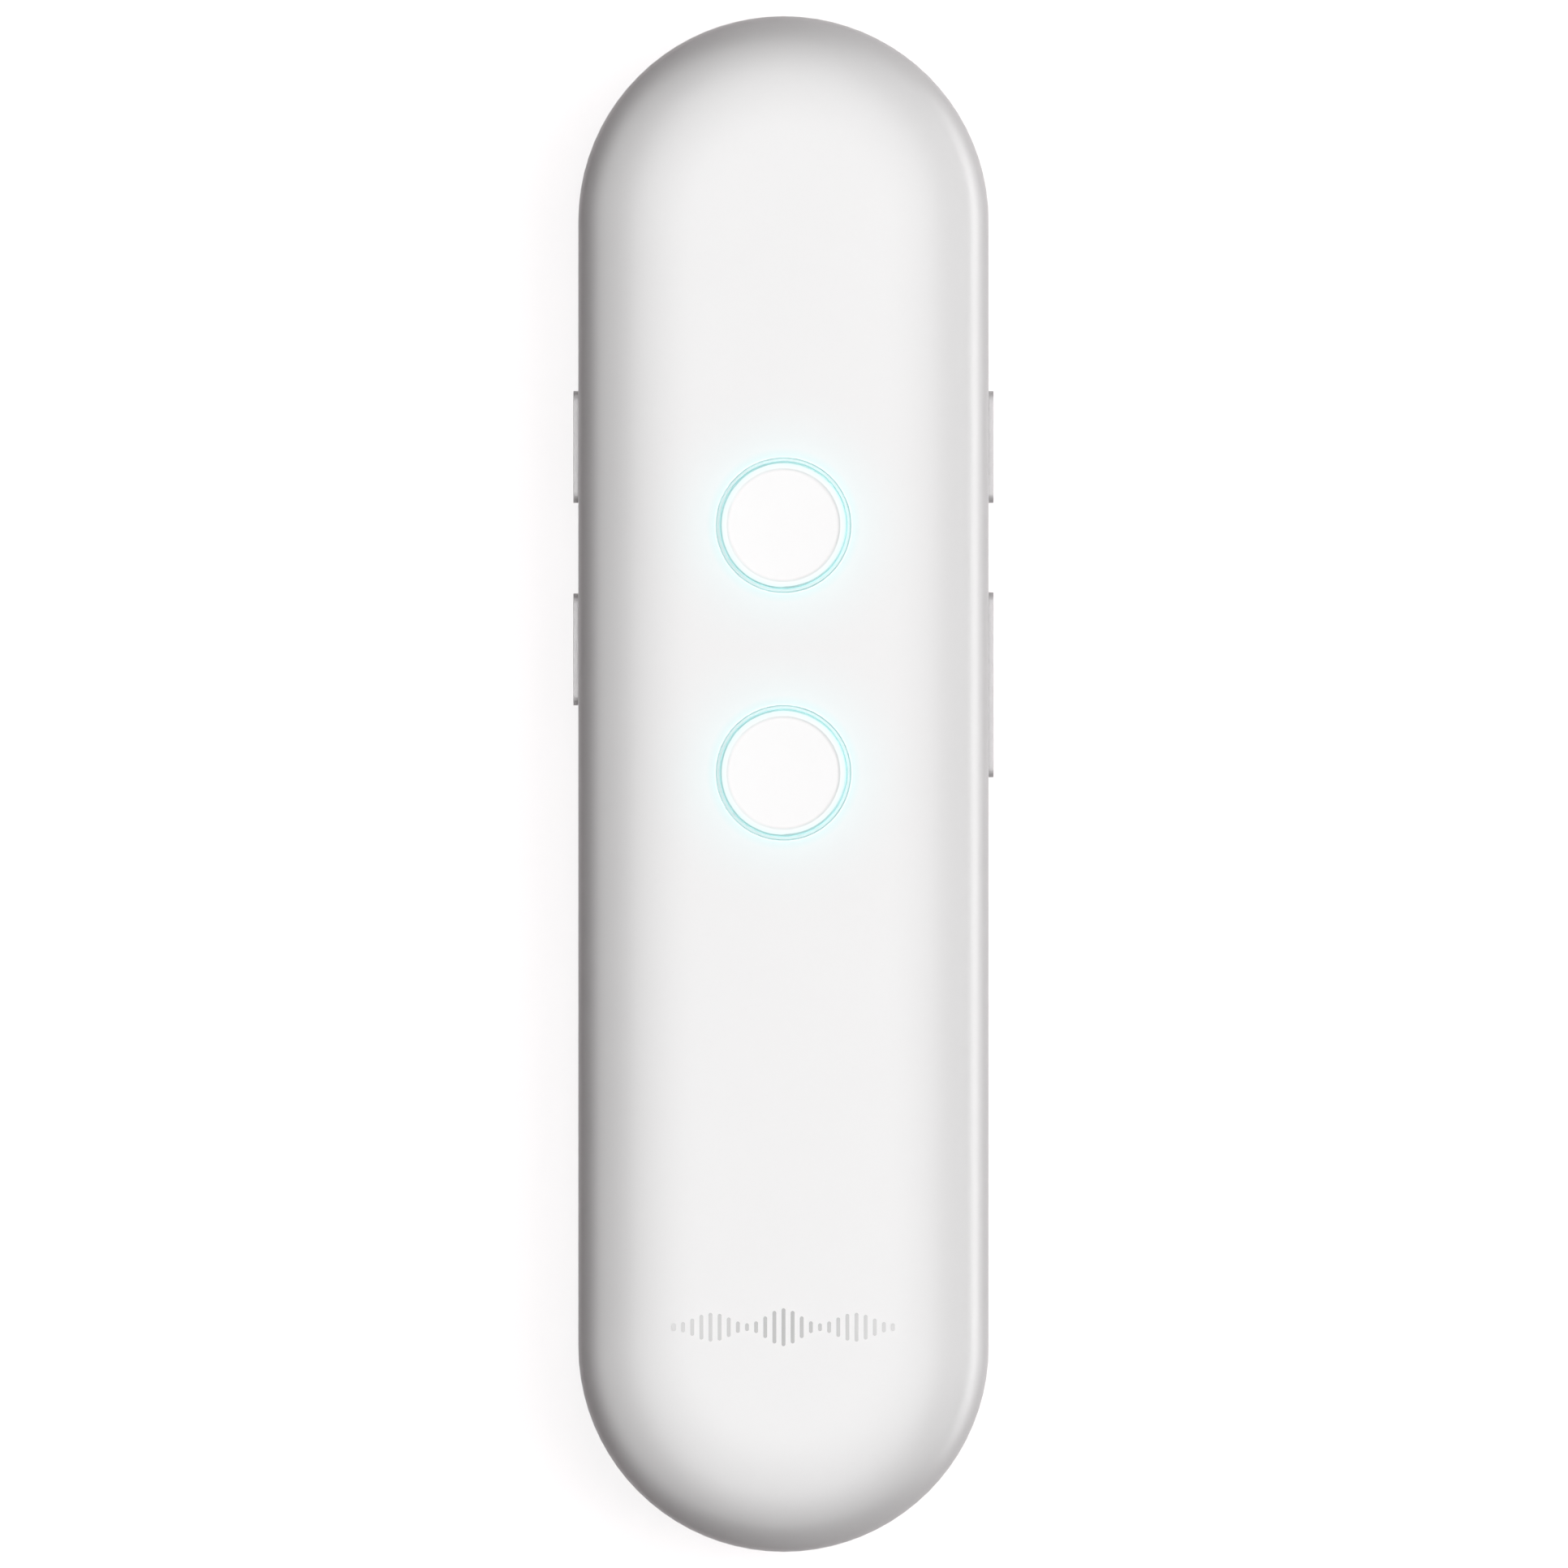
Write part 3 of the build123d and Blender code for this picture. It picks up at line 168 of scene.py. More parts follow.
# ---- light: name, tilt towards +X and +Y, reach across X and along Y (all in degrees), radiance, shine only ----
lamps = [
    ("key_softbox", 45.0, 0.0, 25.0, 20.0, 1.8, False),
    ("top_softbox", 25.0, 20.0, 25.0, 20.0, 1.08, False),
    ("wide_card", 0.0, 0.0, 50.0, 60.0, 7.7, True),
    ("overhead_card", 0.0, 0.0, 25.0, 20.0, 6.0, True),
    ("left_card", -60.0, 0.0, 25.0, 60.0, 4.02, True),
    ("right_strip", 55.0, 20.0, 8.0, 60.0, 6.13, True),
    ("rim_strip", 82.0, 20.0, 8.0, 46.0, 15.5, True),
]
lamp_distance = 1.3
floor_half_size = 6.0
floor_z = -0.02 * MM  # just beneath the back
floor_far = 3.0
# (share of floor_far, lift): a faint grey ring round the object keeps its white face apart from the floor seen low
# behind it, and far away the floor turns white, so that no horizon shows.
floor_lifts = [(0.0, 0.85), (0.035, 0.85), (0.07, 0.76), (0.2, 0.76), (1.0, 1.0)]
world_fill = 0.06  # strength of the surroundings' light on matt surfaces

# ---- the camera's frame ----
image_pixels = 1932
metres_per_pixel = 0.07321 * MM
object_pixel = (965.4, 966.0)  # where the object's middle stands, counted from the top left
outline_z = 6.0 * MM  # the height at which a pixel is that long
camera_lens = 400.0  # in mm, as is the sensor
sensor = 36.0


# ---- colour and nodes ----
MIX_A, MIX_B, MIX_RESULT = 6, 7, 2  # the Mix node's colour sockets
VECTOR_A, VECTOR_B, VECTOR_RESULT = 4, 5, 1  # the Mix node's vector sockets
PATTERN_OUTPUT = {"ShaderNodeTexVoronoi": "Distance"}  # the output that gives a pattern, where it isn't Fac
WAVE_PERIOD = math.pi / 10  # a wave texture's period at scale 1
patch_grains = 30  # how many grains wide the patches are in which a finish's colour and roughness drift


def linear(hex_colour):
    """An sRGB hex colour as linear red, green, blue and alpha."""
    channels = [int(hex_colour[k : k + 2], 16) / 255 for k in (1, 3, 5)]
    return [c / 12.92 if c <= 0.04045 else ((c + 0.055) / 1.055) ** 2.4 for c in channels] + [1.0]


def add(tree, kind, sockets=None, stops=(), **settings):
    """Adds one node. Each entry of sockets is a value, or an output socket to link from.

    A ramp gets straight pieces through its stops, which are (share, value) pairs.
    """
    node = tree.nodes.new(kind)
    for name, value in settings.items():
        setattr(node, name, value)
    for number, (share, value) in enumerate(stops):
        elements = node.color_ramp.elements
        if number < 2:
            elements[number].position = share
        else:
            elements.new(share)
        elements[number].color = (value, value, value, 1.0)
    for name, value in (sockets or {}).items():
        if isinstance(value, bpy.types.NodeSocket):
            tree.links.new(value, node.inputs[name])
        else:
            node.inputs[name].default_value = value
    return node


def new_material(name):
    """An empty node material: the material, its tree and its output node."""
    material = bpy.data.materials.new(name)
    material.use_nodes = True
    tree = material.node_tree
    tree.nodes.clear()
    return material, tree, add(tree, "ShaderNodeOutputMaterial")


def surface(
    name,
    colour,
    roughness,
    grain_mm,
    depth_mm,
    colour_shift,
    rough_shift,
    metallic=0.0,
    pattern="ShaderNodeTexNoise",
    stretch=(1.0, 1.0, 1.0),
    grain_tint=0.0,
    **constants,
):
    """A finish whose colour, roughness and bump all come from one real grain.

    The grain is a pattern that repeats every grain_mm, drawn out along an axis where stretch is below 1, and
    depth_mm deep. Patches patch_grains grains wide move the colour by colour_shift of itself and the roughness
    by rough_shift. grain_tint darkens the grain's low places. constants are further sockets of the shader.
    """
    material, tree, output = new_material(name)
    coords = add(tree, "ShaderNodeTexCoord").outputs["Object"]
    drawn = add(tree, "ShaderNodeMapping", {"Vector": coords, "Scale": stretch}).outputs["Vector"]
    per_grain = (WAVE_PERIOD if pattern == "ShaderNodeTexWave" else 1.0) / (grain_mm * MM)
    per_patch = 1 / (patch_grains * grain_mm * MM)
    patches = add(tree, "ShaderNodeTexNoise", {"Vector": coords, "Scale": per_patch, "Detail": 3.0})
    grain = add(tree, pattern, {"Vector": drawn, "Scale": per_grain}).outputs[PATTERN_OUTPUT.get(pattern, "Fac")]
    base = linear(colour)
    dark = [c * (1 - colour_shift) for c in base[:3]] + [1.0]
    light = [min(1.0, c * (1 + colour_shift)) for c in base[:3]] + [1.0]
    low = [c * (1 - grain_tint) for c in base[:3]] + [1.0]
    patchy = add(
        tree, "ShaderNodeMix", {"Factor": patches.outputs["Fac"], MIX_A: dark, MIX_B: light}, data_type="RGBA"
    ).outputs[MIX_RESULT]
    sunk = add(
        tree, "ShaderNodeMapRange", {"Value": grain, "To Min": 1.0 if grain_tint else 0.0, "To Max": 0.0}
    ).outputs["Result"]
    tint = add(tree, "ShaderNodeMix", {"Factor": sunk, MIX_A: patchy, MIX_B: low}, data_type="RGBA")
    rough = add(
        tree,
        "ShaderNodeMapRange",
        {"Value": patches.outputs["Fac"], "To Min": roughness - rough_shift, "To Max": roughness + rough_shift},
    )
    bump = add(tree, "ShaderNodeBump", {"Height": grain, "Distance": depth_mm * MM, "Strength": 1.0})
    sockets = {
        "Base Color": tint.outputs[MIX_RESULT],
        "Roughness": rough.outputs["Result"],
        "Metallic": metallic,
        "Normal": bump.outputs["Normal"],
    }
    shader = add(tree, "ShaderNodeBsdfPrincipled", {**sockets, **constants})
    tree.links.new(shader.outputs["BSDF"], output.inputs["Surface"])
    return material


# ---- finishes on the outside ----
def smooth_roll(material, roll, depth, flat_z, side):
    """Gives a casing half's skin the exact normal of its rolled edge, so that its facets don't show.

    The nearest point of the casing's middle line gives the way outwards and the distance from it. Along an arc of
    the roll the sine of the lean grows evenly with that distance, and its cosine falls evenly with the drop below
    the flat, so two ramps of straight pieces hold them. The normal is the sine outwards plus the cosine towards
    side, +1 for the face and -1 for the back. Where the mesh turns more than a few degrees away from it, as in
    holes and on the inside, the mesh's own normal stays.
    """
    radii, turns = np.array(roll).T
    leans = np.radians(np.concatenate([[0.0], np.cumsum(turns)]))
    falls = np.cumsum(np.concatenate([[0.0], radii * -np.diff(np.cos(leans))]))
    steps = np.cumsum(np.concatenate([[0.0], radii * np.diff(np.sin(leans))])) * depth / falls[-1]
    out_share = 1 + (steps - steps[-1]) / half_width
    tree = material.node_tree
    place = add(tree, "ShaderNodeTexCoord").outputs["Object"]
    # The nearest point keeps the height of the place, as these limits are wide of it in z.
    low, high = (0.0, -middle_line, -1.0), (0.0, middle_line, 1.0)
    held = add(tree, "ShaderNodeVectorMath", {0: place, 1: low}, operation="MAXIMUM").outputs[0]
    nearest = add(tree, "ShaderNodeVectorMath", {0: held, 1: high}, operation="MINIMUM").outputs[0]
    away = add(tree, "ShaderNodeVectorMath", {0: place, 1: nearest}, operation="SUBTRACT").outputs[0]
    outwards = add(tree, "ShaderNodeVectorMath", {0: away}, operation="NORMALIZE").outputs[0]
    distance = add(tree, "ShaderNodeVectorMath", {0: away}, operation="LENGTH").outputs["Value"]
    across = add(tree, "ShaderNodeMapRange", {"Value": distance, "From Max": half_width}).outputs["Result"]
    height = add(tree, "ShaderNodeSeparateXYZ", {"Vector": place}).outputs["Z"]
    ends = {"Value": height, "From Min": flat_z, "From Max": flat_z - side * depth}
    drop = add(tree, "ShaderNodeMapRange", ends).outputs["Result"]
    sines, cosines = list(zip(out_share, np.sin(leans))), list(zip(falls / falls[-1], np.cos(leans)))
    sine = add(tree, "ShaderNodeValToRGB", {"Fac": across}, sines).outputs["Color"]
    cosine = add(tree, "ShaderNodeValToRGB", {"Fac": drop}, cosines).outputs["Color"]
    sideways = add(tree, "ShaderNodeVectorMath", {0: outwards, 1: sine}, operation="MULTIPLY").outputs[0]
    upright = add(tree, "ShaderNodeVectorMath", {0: cosine, 1: (0.0, 0.0, side)}, operation="MULTIPLY").outputs[0]
    both = add(tree, "ShaderNodeVectorMath", {0: sideways, 1: upright}, operation="ADD").outputs[0]
    to_world = {"vector_type": "NORMAL", "convert_from": "OBJECT", "convert_to": "WORLD"}
    turned = add(tree, "ShaderNodeVectorTransform", {0: both}, **to_world).outputs[0]
    exact = add(tree, "ShaderNodeVectorMath", {0: turned}, operation="NORMALIZE").outputs[0]
    own = add(tree, "ShaderNodeNewGeometry").outputs["Normal"]
    match = add(tree, "ShaderNodeVectorMath", {0: own, 1: exact}, operation="DOT_PRODUCT").outputs["Value"]
    ends = {"Value": match, "From Min": roll_match[0], "From Max": roll_match[1]}
    trust = add(tree, "ShaderNodeMapRange", ends).outputs["Result"]
    chosen = add(tree, "ShaderNodeMix", {"Factor": trust, VECTOR_A: own, VECTOR_B: exact}, data_type="VECTOR")
    tree.links.new(chosen.outputs[VECTOR_RESULT], tree.nodes["Bump"].inputs["Normal"])


def fall_from_rings(tree, near, far, power=1.0):
    """1 at a distance near from the middle of the closer light ring, falling to 0 at far, as a power of the way.

    The distance is measured across the face, in Object coordinates.
    """
    coords = add(tree, "ShaderNodeTexCoord").outputs["Object"]
    flat = add(tree, "ShaderNodeVectorMath", {0: coords, 1: (1.0, 1.0, 0.0)}, operation="MULTIPLY").outputs[0]
    middles = [(spot.x, spot.y, 0.0) for spot in ring_spots]
    upper, lower = (
        add(tree, "ShaderNodeVectorMath", {0: flat, 1: middle}, operation="DISTANCE").outputs["Value"]
        for middle in middles
    )
    away = add(tree, "ShaderNodeMath", {0: upper, 1: lower}, operation="MINIMUM").outputs[0]
    ends = {"Value": away, "From Min": near, "From Max": far, "To Min": 1.0, "To Max": 0.0}
    fall = add(tree, "ShaderNodeMapRange", ends).outputs["Result"]
    return add(tree, "ShaderNodeMath", {0: fall, 1: power}, operation="POWER").outputs[0]


def paint_ring_glow_tint(material, colour, near, far):
    """Turns a finish's colour towards another one near the light rings: a painted glow of the rings' light."""
    tree = material.node_tree
    base = tree.nodes["Principled BSDF"].inputs["Base Color"]
    plain = base.links[0].from_socket
    sockets = {"Factor": fall_from_rings(tree, near, far), MIX_A: plain, MIX_B: linear(colour)}
    glow_tinted = add(tree, "ShaderNodeMix", sockets, data_type="RGBA")
    tree.links.new(glow_tinted.outputs[MIX_RESULT], base)


def moulded_white_abs():
    """White ABS from a polished mould under a satin clear coat: even and smooth, with a soft broad shine.

    The rings' light is painted on it: a faint blue-green tint beside them, a glow that fades away from them, and a
    brighter glow on the edges of their holes.
    """
    material = surface("moulded_white_abs", SHELL_WHITE, 0.35, 0.25, 0.001, 0.004, 0.02, IOR=1.5)
    smooth_roll(material, front_roll, front_depth, face_z, 1.0)
    paint_ring_glow_tint(material, SHELL_RING_GLOW_TINT, ring_radius, ring_radius + shell_stain_reach)
    tree = material.node_tree
    shader = tree.nodes["Principled BSDF"]
    # Painted glow: a halo that fades away from the rings, and a brighter painted glow on the edges of their holes.
    spread = fall_from_rings(tree, ring_radius, ring_radius + halo_reach, halo_power)
    edge = fall_from_rings(tree, ring_radius, ring_radius + hole_edge_reach)
    halo = [halo_strength * c for c in linear(HALO_LIGHT)[:3]]
    rim = [hole_edge_glow * c for c in linear(EDGE_LIGHT)[:3]]
    wide = add(tree, "ShaderNodeVectorMath", {0: spread, 1: halo}, operation="MULTIPLY").outputs[0]
    glow = add(tree, "ShaderNodeVectorMath", {0: edge, 1: rim, 2: wide}, operation="MULTIPLY_ADD").outputs[0]
    tree.links.new(glow, shader.inputs["Emission Color"])
    shader.inputs["Emission Strength"].default_value = 1.0
    return material


def milky_polycarbonate():
    """Milky polycarbonate, polished, with the light from beneath painted on as a glow: the whitest thing on the
    face, with a stronger blue-green painted glow at its rim.
    """
    material = surface("milky_polycarbonate", CAP_WHITE, 0.22, 0.4, 0.001, 0.003, 0.02, IOR=1.58)
    paint_ring_glow_tint(material, CAP_RING_GLOW_TINT, cap_rim, cap_rim - cap_rim_reach)
    tree = material.node_tree
    shader = tree.nodes["Principled BSDF"]
    # Painted glow: faint all over the cap, and stronger and blue-green at its rim beside the ring.
    rim = fall_from_rings(tree, cap_rim, cap_rim - cap_rim_reach, 2.0)
    shares = {0: rim, 1: cap_rim_glow, 2: cap_glow}
    glow = add(tree, "ShaderNodeMath", shares, operation="MULTIPLY_ADD").outputs[0]
    tints = {"Factor": rim, MIX_A: linear("#FFFFFF"), MIX_B: linear(RING_LIGHT)}
    shade = add(tree, "ShaderNodeMix", tints, data_type="RGBA").outputs[MIX_RESULT]
    tree.links.new(glow, shader.inputs["Emission Strength"])
    tree.links.new(shade, shader.inputs["Emission Color"])
    return material


def solder_masked_board():
    """Glass-epoxy board under green solder mask: satin green, with the copper tracks faintly raised and lighter."""
    return surface(
        "solder_masked_glass_epoxy",
        "#1C5E38",
        0.35,
        1.6,
        0.03,
        0.08,
        0.05,
        pattern="ShaderNodeTexBrick",
        grain_tint=0.35,
        IOR=1.55,
    )


def spark_eroded_white_abs():
    """White ABS from a spark-eroded mould: a shade flatter than the face, it breaks up the light."""
    material = surface("spark_eroded_white_abs", "#F0F0F0", 0.45, 0.2, 0.006, 0.006, 0.04, IOR=1.5)
    smooth_roll(material, rear_roll, rear_depth, back_z, -1.0)
    return material


# Each call gives the real material's name, its colour, its roughness, the width and the depth of its grain in mm,
# and how far colour and roughness drift. A grain that is too fine to show, such as a polished mould's, is drawn as
# coarse as it needs to: 0.08 to 0.4 mm wide.
finishes = {
    "white_shell": moulded_white_abs(),
    "white_rear": spark_eroded_white_abs(),
    # Keys from a finely blasted mould: even, pale and without a hot spot.
    "white_key": surface("fine_blasted_white_abs", KEY_WHITE, 0.45, 0.2, 0.002, 0.006, 0.03, IOR=1.5),
    "milky_cap": milky_polycarbonate(),
    # Acrylic light guide, frosted at its end: a thin even line of pale blue-green.
    "clear_light_guide": surface(
        "frosted_acrylic",
        RING_BLUE,
        0.35,
        0.3,
        0.001,
        0.01,
        0.05,
        **{"IOR": 1.49, "Emission Color": linear(RING_LIGHT), "Emission Strength": ring_glow},
    ),
    # Silicone rubber: a dry, pale surface with no bright spot.
    "grey_silicone": surface("pale_silicone", "#D8D8D8", 0.7, 0.3, 0.01, 0.02, 0.05, IOR=1.41),
    # Cold-rolled steel: a soft shine drawn out along the rolling direction.
    "steel": surface(
        "cold_rolled_steel", "#B9BABD", 0.3, 0.08, 0.004, 0.03, 0.06, metallic=1.0, stretch=(0.04, 1.0, 1.0)
    ),
    # Black zinc plating: dark metal with a faint cloudiness.
    "dark_screw": surface("black_zinc_plated_steel", "#55565A", 0.35, 0.2, 0.004, 0.05, 0.06, metallic=1.0),
    # Glass-filled nylon: near black, with a dull, slightly fibrous skin.
    "black_plastic": surface(
        "glass_filled_nylon", "#1E1E20", 0.55, 0.12, 0.008, 0.05, 0.06, stretch=(1.0, 0.25, 1.0), IOR=1.53
    ),
    # Unfilled nylon: warm cream, a little waxy.
    "cream_plastic": surface("natural_nylon", "#E9E2CF", 0.45, 0.2, 0.004, 0.02, 0.05, IOR=1.53),
    # Black silicone rubber: matt and dusty.
    "black_rubber": surface("black_silicone", "#161616", 0.75, 0.3, 0.01, 0.05, 0.06, IOR=1.41),
    "board_green": solder_masked_board(),
    # Moulded epoxy: flat dark grey with a fine even tooth.
    "chip_black": surface("moulded_black_epoxy", "#18181A", 0.6, 0.12, 0.006, 0.05, 0.06, IOR=1.55),
    # Fired ceramic: chalky, tan for the capacitors and white for the antenna.
    "ceramic_tan": surface("fired_tan_ceramic", "#B08A62", 0.6, 0.1, 0.004, 0.06, 0.06, IOR=1.6),
    "ceramic_white": surface("fired_white_ceramic", "#E8E8E4", 0.5, 0.1, 0.004, 0.02, 0.06, IOR=1.6),
    # Clear silicone over a phosphor: glossy, pale yellow.
    "lamp_lens": surface("clear_silicone_over_phosphor", "#F1EBC8", 0.2, 0.2, 0.002, 0.03, 0.04, IOR=1.41),
    # Aluminium laminate: silvery, with the film's small embossed cells.
    "pouch_silver": surface(
        "embossed_aluminium_laminate",
        "#C3C4C6",
        0.35,
        0.6,
        0.02,
        0.03,
        0.05,
        metallic=1.0,
        pattern="ShaderNodeTexVoronoi",
    ),
    # Acrylic foam tape: flat white with open pores.
    "tape_white": surface(
        "acrylic_foam_tape", "#E4E4E2", 0.8, 0.2, 0.02, 0.03, 0.05, pattern="ShaderNodeTexVoronoi", IOR=1.48
    ),
    # Extruded silicone insulation: soft colour with a satin skin drawn out along the wire.
    "wire_red": surface(
        "red_silicone_insulation", "#B5201B", 0.5, 0.1, 0.004, 0.04, 0.05, stretch=(1.0, 0.2, 1.0), IOR=1.41
    ),
    "wire_black": surface(
        "black_silicone_insulation", "#1B1B1B", 0.5, 0.1, 0.004, 0.04, 0.05, stretch=(1.0, 0.2, 1.0), IOR=1.41
    ),
    # Enamelled copper: the coil's turns show as fine rings, one above the other.
    "copper": surface(
        "enamelled_copper_winding",
        "#C0703F",
        0.25,
        0.08,
        0.02,
        0.06,
        0.05,
        metallic=1.0,
        pattern="ShaderNodeTexWave",
        stretch=(0.0, 0.0, 1.0),
        grain_tint=0.4,
    ),
    # Gold flash over nickel: bright and warm.
    "gold": surface("gold_plated_contact", "#E3BC66", 0.2, 0.1, 0.002, 0.03, 0.05, metallic=1.0),
    # Urethane foam: black, with open cells that hold no shine.
    "foam": surface(
        "open_cell_urethane_foam",
        "#202020",
        0.95,
        0.25,
        0.06,
        0.12,
        0.04,
        pattern="ShaderNodeTexVoronoi",
        grain_tint=0.5,
        IOR=1.45,
    ),
    # Polyester film: smooth black with a tight shine.
    "cone_film": surface("black_polyester_film", "#222224", 0.3, 0.3, 0.004, 0.04, 0.05, IOR=1.57),
    # Sintered ferrite: dark grey and gritty.
    "ferrite": surface("sintered_ferrite", "#35353A", 0.6, 0.15, 0.008, 0.06, 0.06),
}
# The keys on the side that looks away from the light get a paler colour: painted light in place of the light that
# the body's shadow keeps off them, so that both sides look alike.
painted_light_key = surface("fine_blasted_abs_painted_light", PAINTED_LIGHT_KEY_WHITE, 0.45, 0.2, 0.002, 0.006, 0.03, IOR=1.5)
own_finish = {
    "power_key": painted_light_key,
    "mode_key": painted_light_key,
    # Woven polyester: a fine black cloth whose threads catch a little light.
    "speaker_mesh": surface(
        "woven_polyester_mesh",
        "#141415",
        0.6,
        0.2,
        0.04,
        0.05,
        0.05,
        pattern="ShaderNodeTexBrick",
        grain_tint=0.6,
        IOR=1.57,
    ),
}

for entry in frame["record"]["subparts"]:
    mesh = nodes[entry["node"]].data
    mesh.materials.clear()
    mesh.materials.append(own_finish.get(entry["node"], finishes[entry["material_slot"]]))


# ---- pieces made here ----
def new_piece(name, points, faces, material, slot, body=None):
    """A mesh object at the origin, with its finish and, unless it bends between two, its body. slot is not used."""
    mesh = bpy.data.meshes.new(name)
    mesh.from_pydata(points.reshape(-1, 3).tolist(), [], faces)
    mesh.materials.append(material)
    piece = bpy.data.objects.new(name, mesh)
    bpy.context.scene.collection.objects.link(piece)
    if body:
        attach(piece, body)
    return piece


def mark_shape():
    """A row of upright round-ended bars, like a level display, that rise and fall along the row.

    Bar k stands at pitch times k from the middle. Its height is the shortest, plus the rest of the tallest times
    half of one plus the cosine of three half turns of its place, times a fall towards the row's ends. Its outline
    is two half circles of half its width, parted by the rest of its height, and it is drawn up by its thickness.
    """
    places = np.arange(mark_bars) - (mark_bars - 1) / 2
    share = places / places.max()
    swell = (0.5 + 0.5 * np.cos(3 * np.pi * share)) * (1 - mark_end_fall * np.abs(share))
    heights = mark_shortest + (mark_tallest - mark_shortest) * swell
    turn = np.linspace(0.0, np.pi, mark_cap_steps)
    half = np.stack([np.cos(turn), np.sin(turn)], axis=1) * mark_bar_width / 2
    half = half[None] + ((heights - mark_bar_width) / 2)[:, None, None] * [0.0, 1.0]
    outline = np.concatenate([half, -half], axis=1)
    outline = outline + np.stack([places * mark_pitch, np.full(mark_bars, mark_centre_y)], axis=1)[:, None]
    count = outline.shape[1]
    points = np.empty((mark_bars, 2, count, 3))
    points[..., :2] = outline[:, None]
    points[..., 2] = face_z + mark_thickness * np.arange(2)[:, None]
    starts = 2 * count * np.arange(mark_bars)[:, None]
    ring = np.arange(count)
    after = np.roll(ring, -1)
    bottoms = starts + ring[::-1]
    tops = starts + count + ring
    sides = starts[..., None] + np.stack([ring, after, count + after, count + ring], axis=1)
    return points, bottoms.tolist() + tops.tolist() + sides.reshape(-1, 4).tolist()


def hot_stamped_foil():
    """Silver hot-stamping foil: brighter towards the row's ends and greyer in its middle."""
    material = surface("hot_stamped_silver_foil", FOIL_MIDDLE, 0.45, 0.2, 0.002, 0.01, 0.03, IOR=1.5)
    tree = material.node_tree
    coords = add(tree, "ShaderNodeTexCoord").outputs["Object"]
    across = add(tree, "ShaderNodeSeparateXYZ", {"Vector": coords}).outputs["X"]
    from_middle = add(tree, "ShaderNodeMath", {0: across}, operation="ABSOLUTE").outputs[0]
    way = add(tree, "ShaderNodeMapRange", {"Value": from_middle, "From Max": mark_pitch * mark_bars / 2})
    sockets = {"Factor": way.outputs["Result"], MIX_A: linear(FOIL_MIDDLE), MIX_B: linear(FOIL_END)}
    shade = add(tree, "ShaderNodeMix", sockets, data_type="RGBA").outputs[MIX_RESULT]
    tree.links.new(shade, tree.nodes["Principled BSDF"].inputs["Base Color"])
    return material


def lathe(profile, spots):
    """The same closed shape at each spot: (distance, height) points turned about the upright line there.

    The turn takes each point to distance times the cosine and sine of its angle. The profile starts and ends on
    the line, and goes out along the bottom and back along the top.
    """
    angle = 2 * np.pi * np.arange(turn_steps) / turn_steps
    around = np.stack([np.cos(angle), np.sin(angle)], axis=1)
    rows = len(profile) - 2
    grid = np.empty((rows, turn_steps, 3))
    grid[..., :2] = profile[1:-1, None, :1] * around
    grid[..., 2] = profile[1:-1, 1:]
    poles = np.array([(0.0, 0.0, profile[0, 1]), (0.0, 0.0, profile[-1, 1])])
    one = np.concatenate([grid.reshape(-1, 3), poles])
    points = one[None] + np.array(spots)[:, None]
    ring = np.arange(turn_steps)
    after = np.roll(ring, -1)
    below = np.arange(rows - 1)[:, None] * turn_steps
    above = below + turn_steps
    walls = np.stack([below + ring, below + after, above + after, above + ring], axis=2)
    last = (rows - 1) * turn_steps
    bottom = np.stack([np.full_like(ring, len(one) - 2), after, ring], axis=1)
    top = np.stack([np.full_like(ring, len(one) - 1), last + ring, last + after], axis=1)
    starts = len(one) * np.arange(len(spots))[:, None, None]
    faces = []
    for part in (walls.reshape(-1, 4), bottom, top):
        faces += (starts + part).reshape(-1, part.shape[1]).tolist()
    return points, faces


def plug_shape():
    """Four soft plugs, each turned about its own middle, with a rounded outer edge and a shallow dimple.

    The profile goes out along a cosine dimple, round a quarter circle of the edge's radius, up the wall and back in
    at the top.
    """
    quarter = np.linspace(0.0, np.pi / 2, plug_edge_steps)
    flat_radius = plug_radius - plug_edge
    across = np.linspace(0.0, 1.0, plug_edge_steps)[:-1]
    dish = np.stack([across * flat_radius, plug_dimple * (0.5 + 0.5 * np.cos(np.pi * across))], axis=1)
    edge = np.stack([flat_radius + plug_edge * np.sin(quarter), plug_edge * (1 - np.cos(quarter))], axis=1)
    height = plugs_high.z - plugs_low.z
    profile = np.concatenate([dish, edge, [[plug_radius, height], [0.0, height]]]) + [0.0, plugs_low.z]
    spot_x = plugs_high.x - plug_radius
    spot_y = plugs_high.y - plug_radius
    return lathe(profile, [(x, y, 0.0) for x in (-spot_x, spot_x) for y in (-spot_y, spot_y)])


def dome_shape(low, high):
    """A thin round spring dome between two corners: its height falls with the square of the way out.

    The lower skin lies one thickness beneath the upper one, and the rim closes them.
    """
    radius = (high.x - low.x) / 2
    way = np.linspace(0.0, 1.0, dome_steps)
    drop = (high.z - low.z - dome_thickness) * way**2
    upper = np.stack([radius * way, high.z - drop], axis=1)
    profile = np.concatenate([upper - [0.0, dome_thickness], upper[::-1]])
    return lathe(profile, [((low.x + high.x) / 2, (low.y + high.y) / 2, 0.0)])


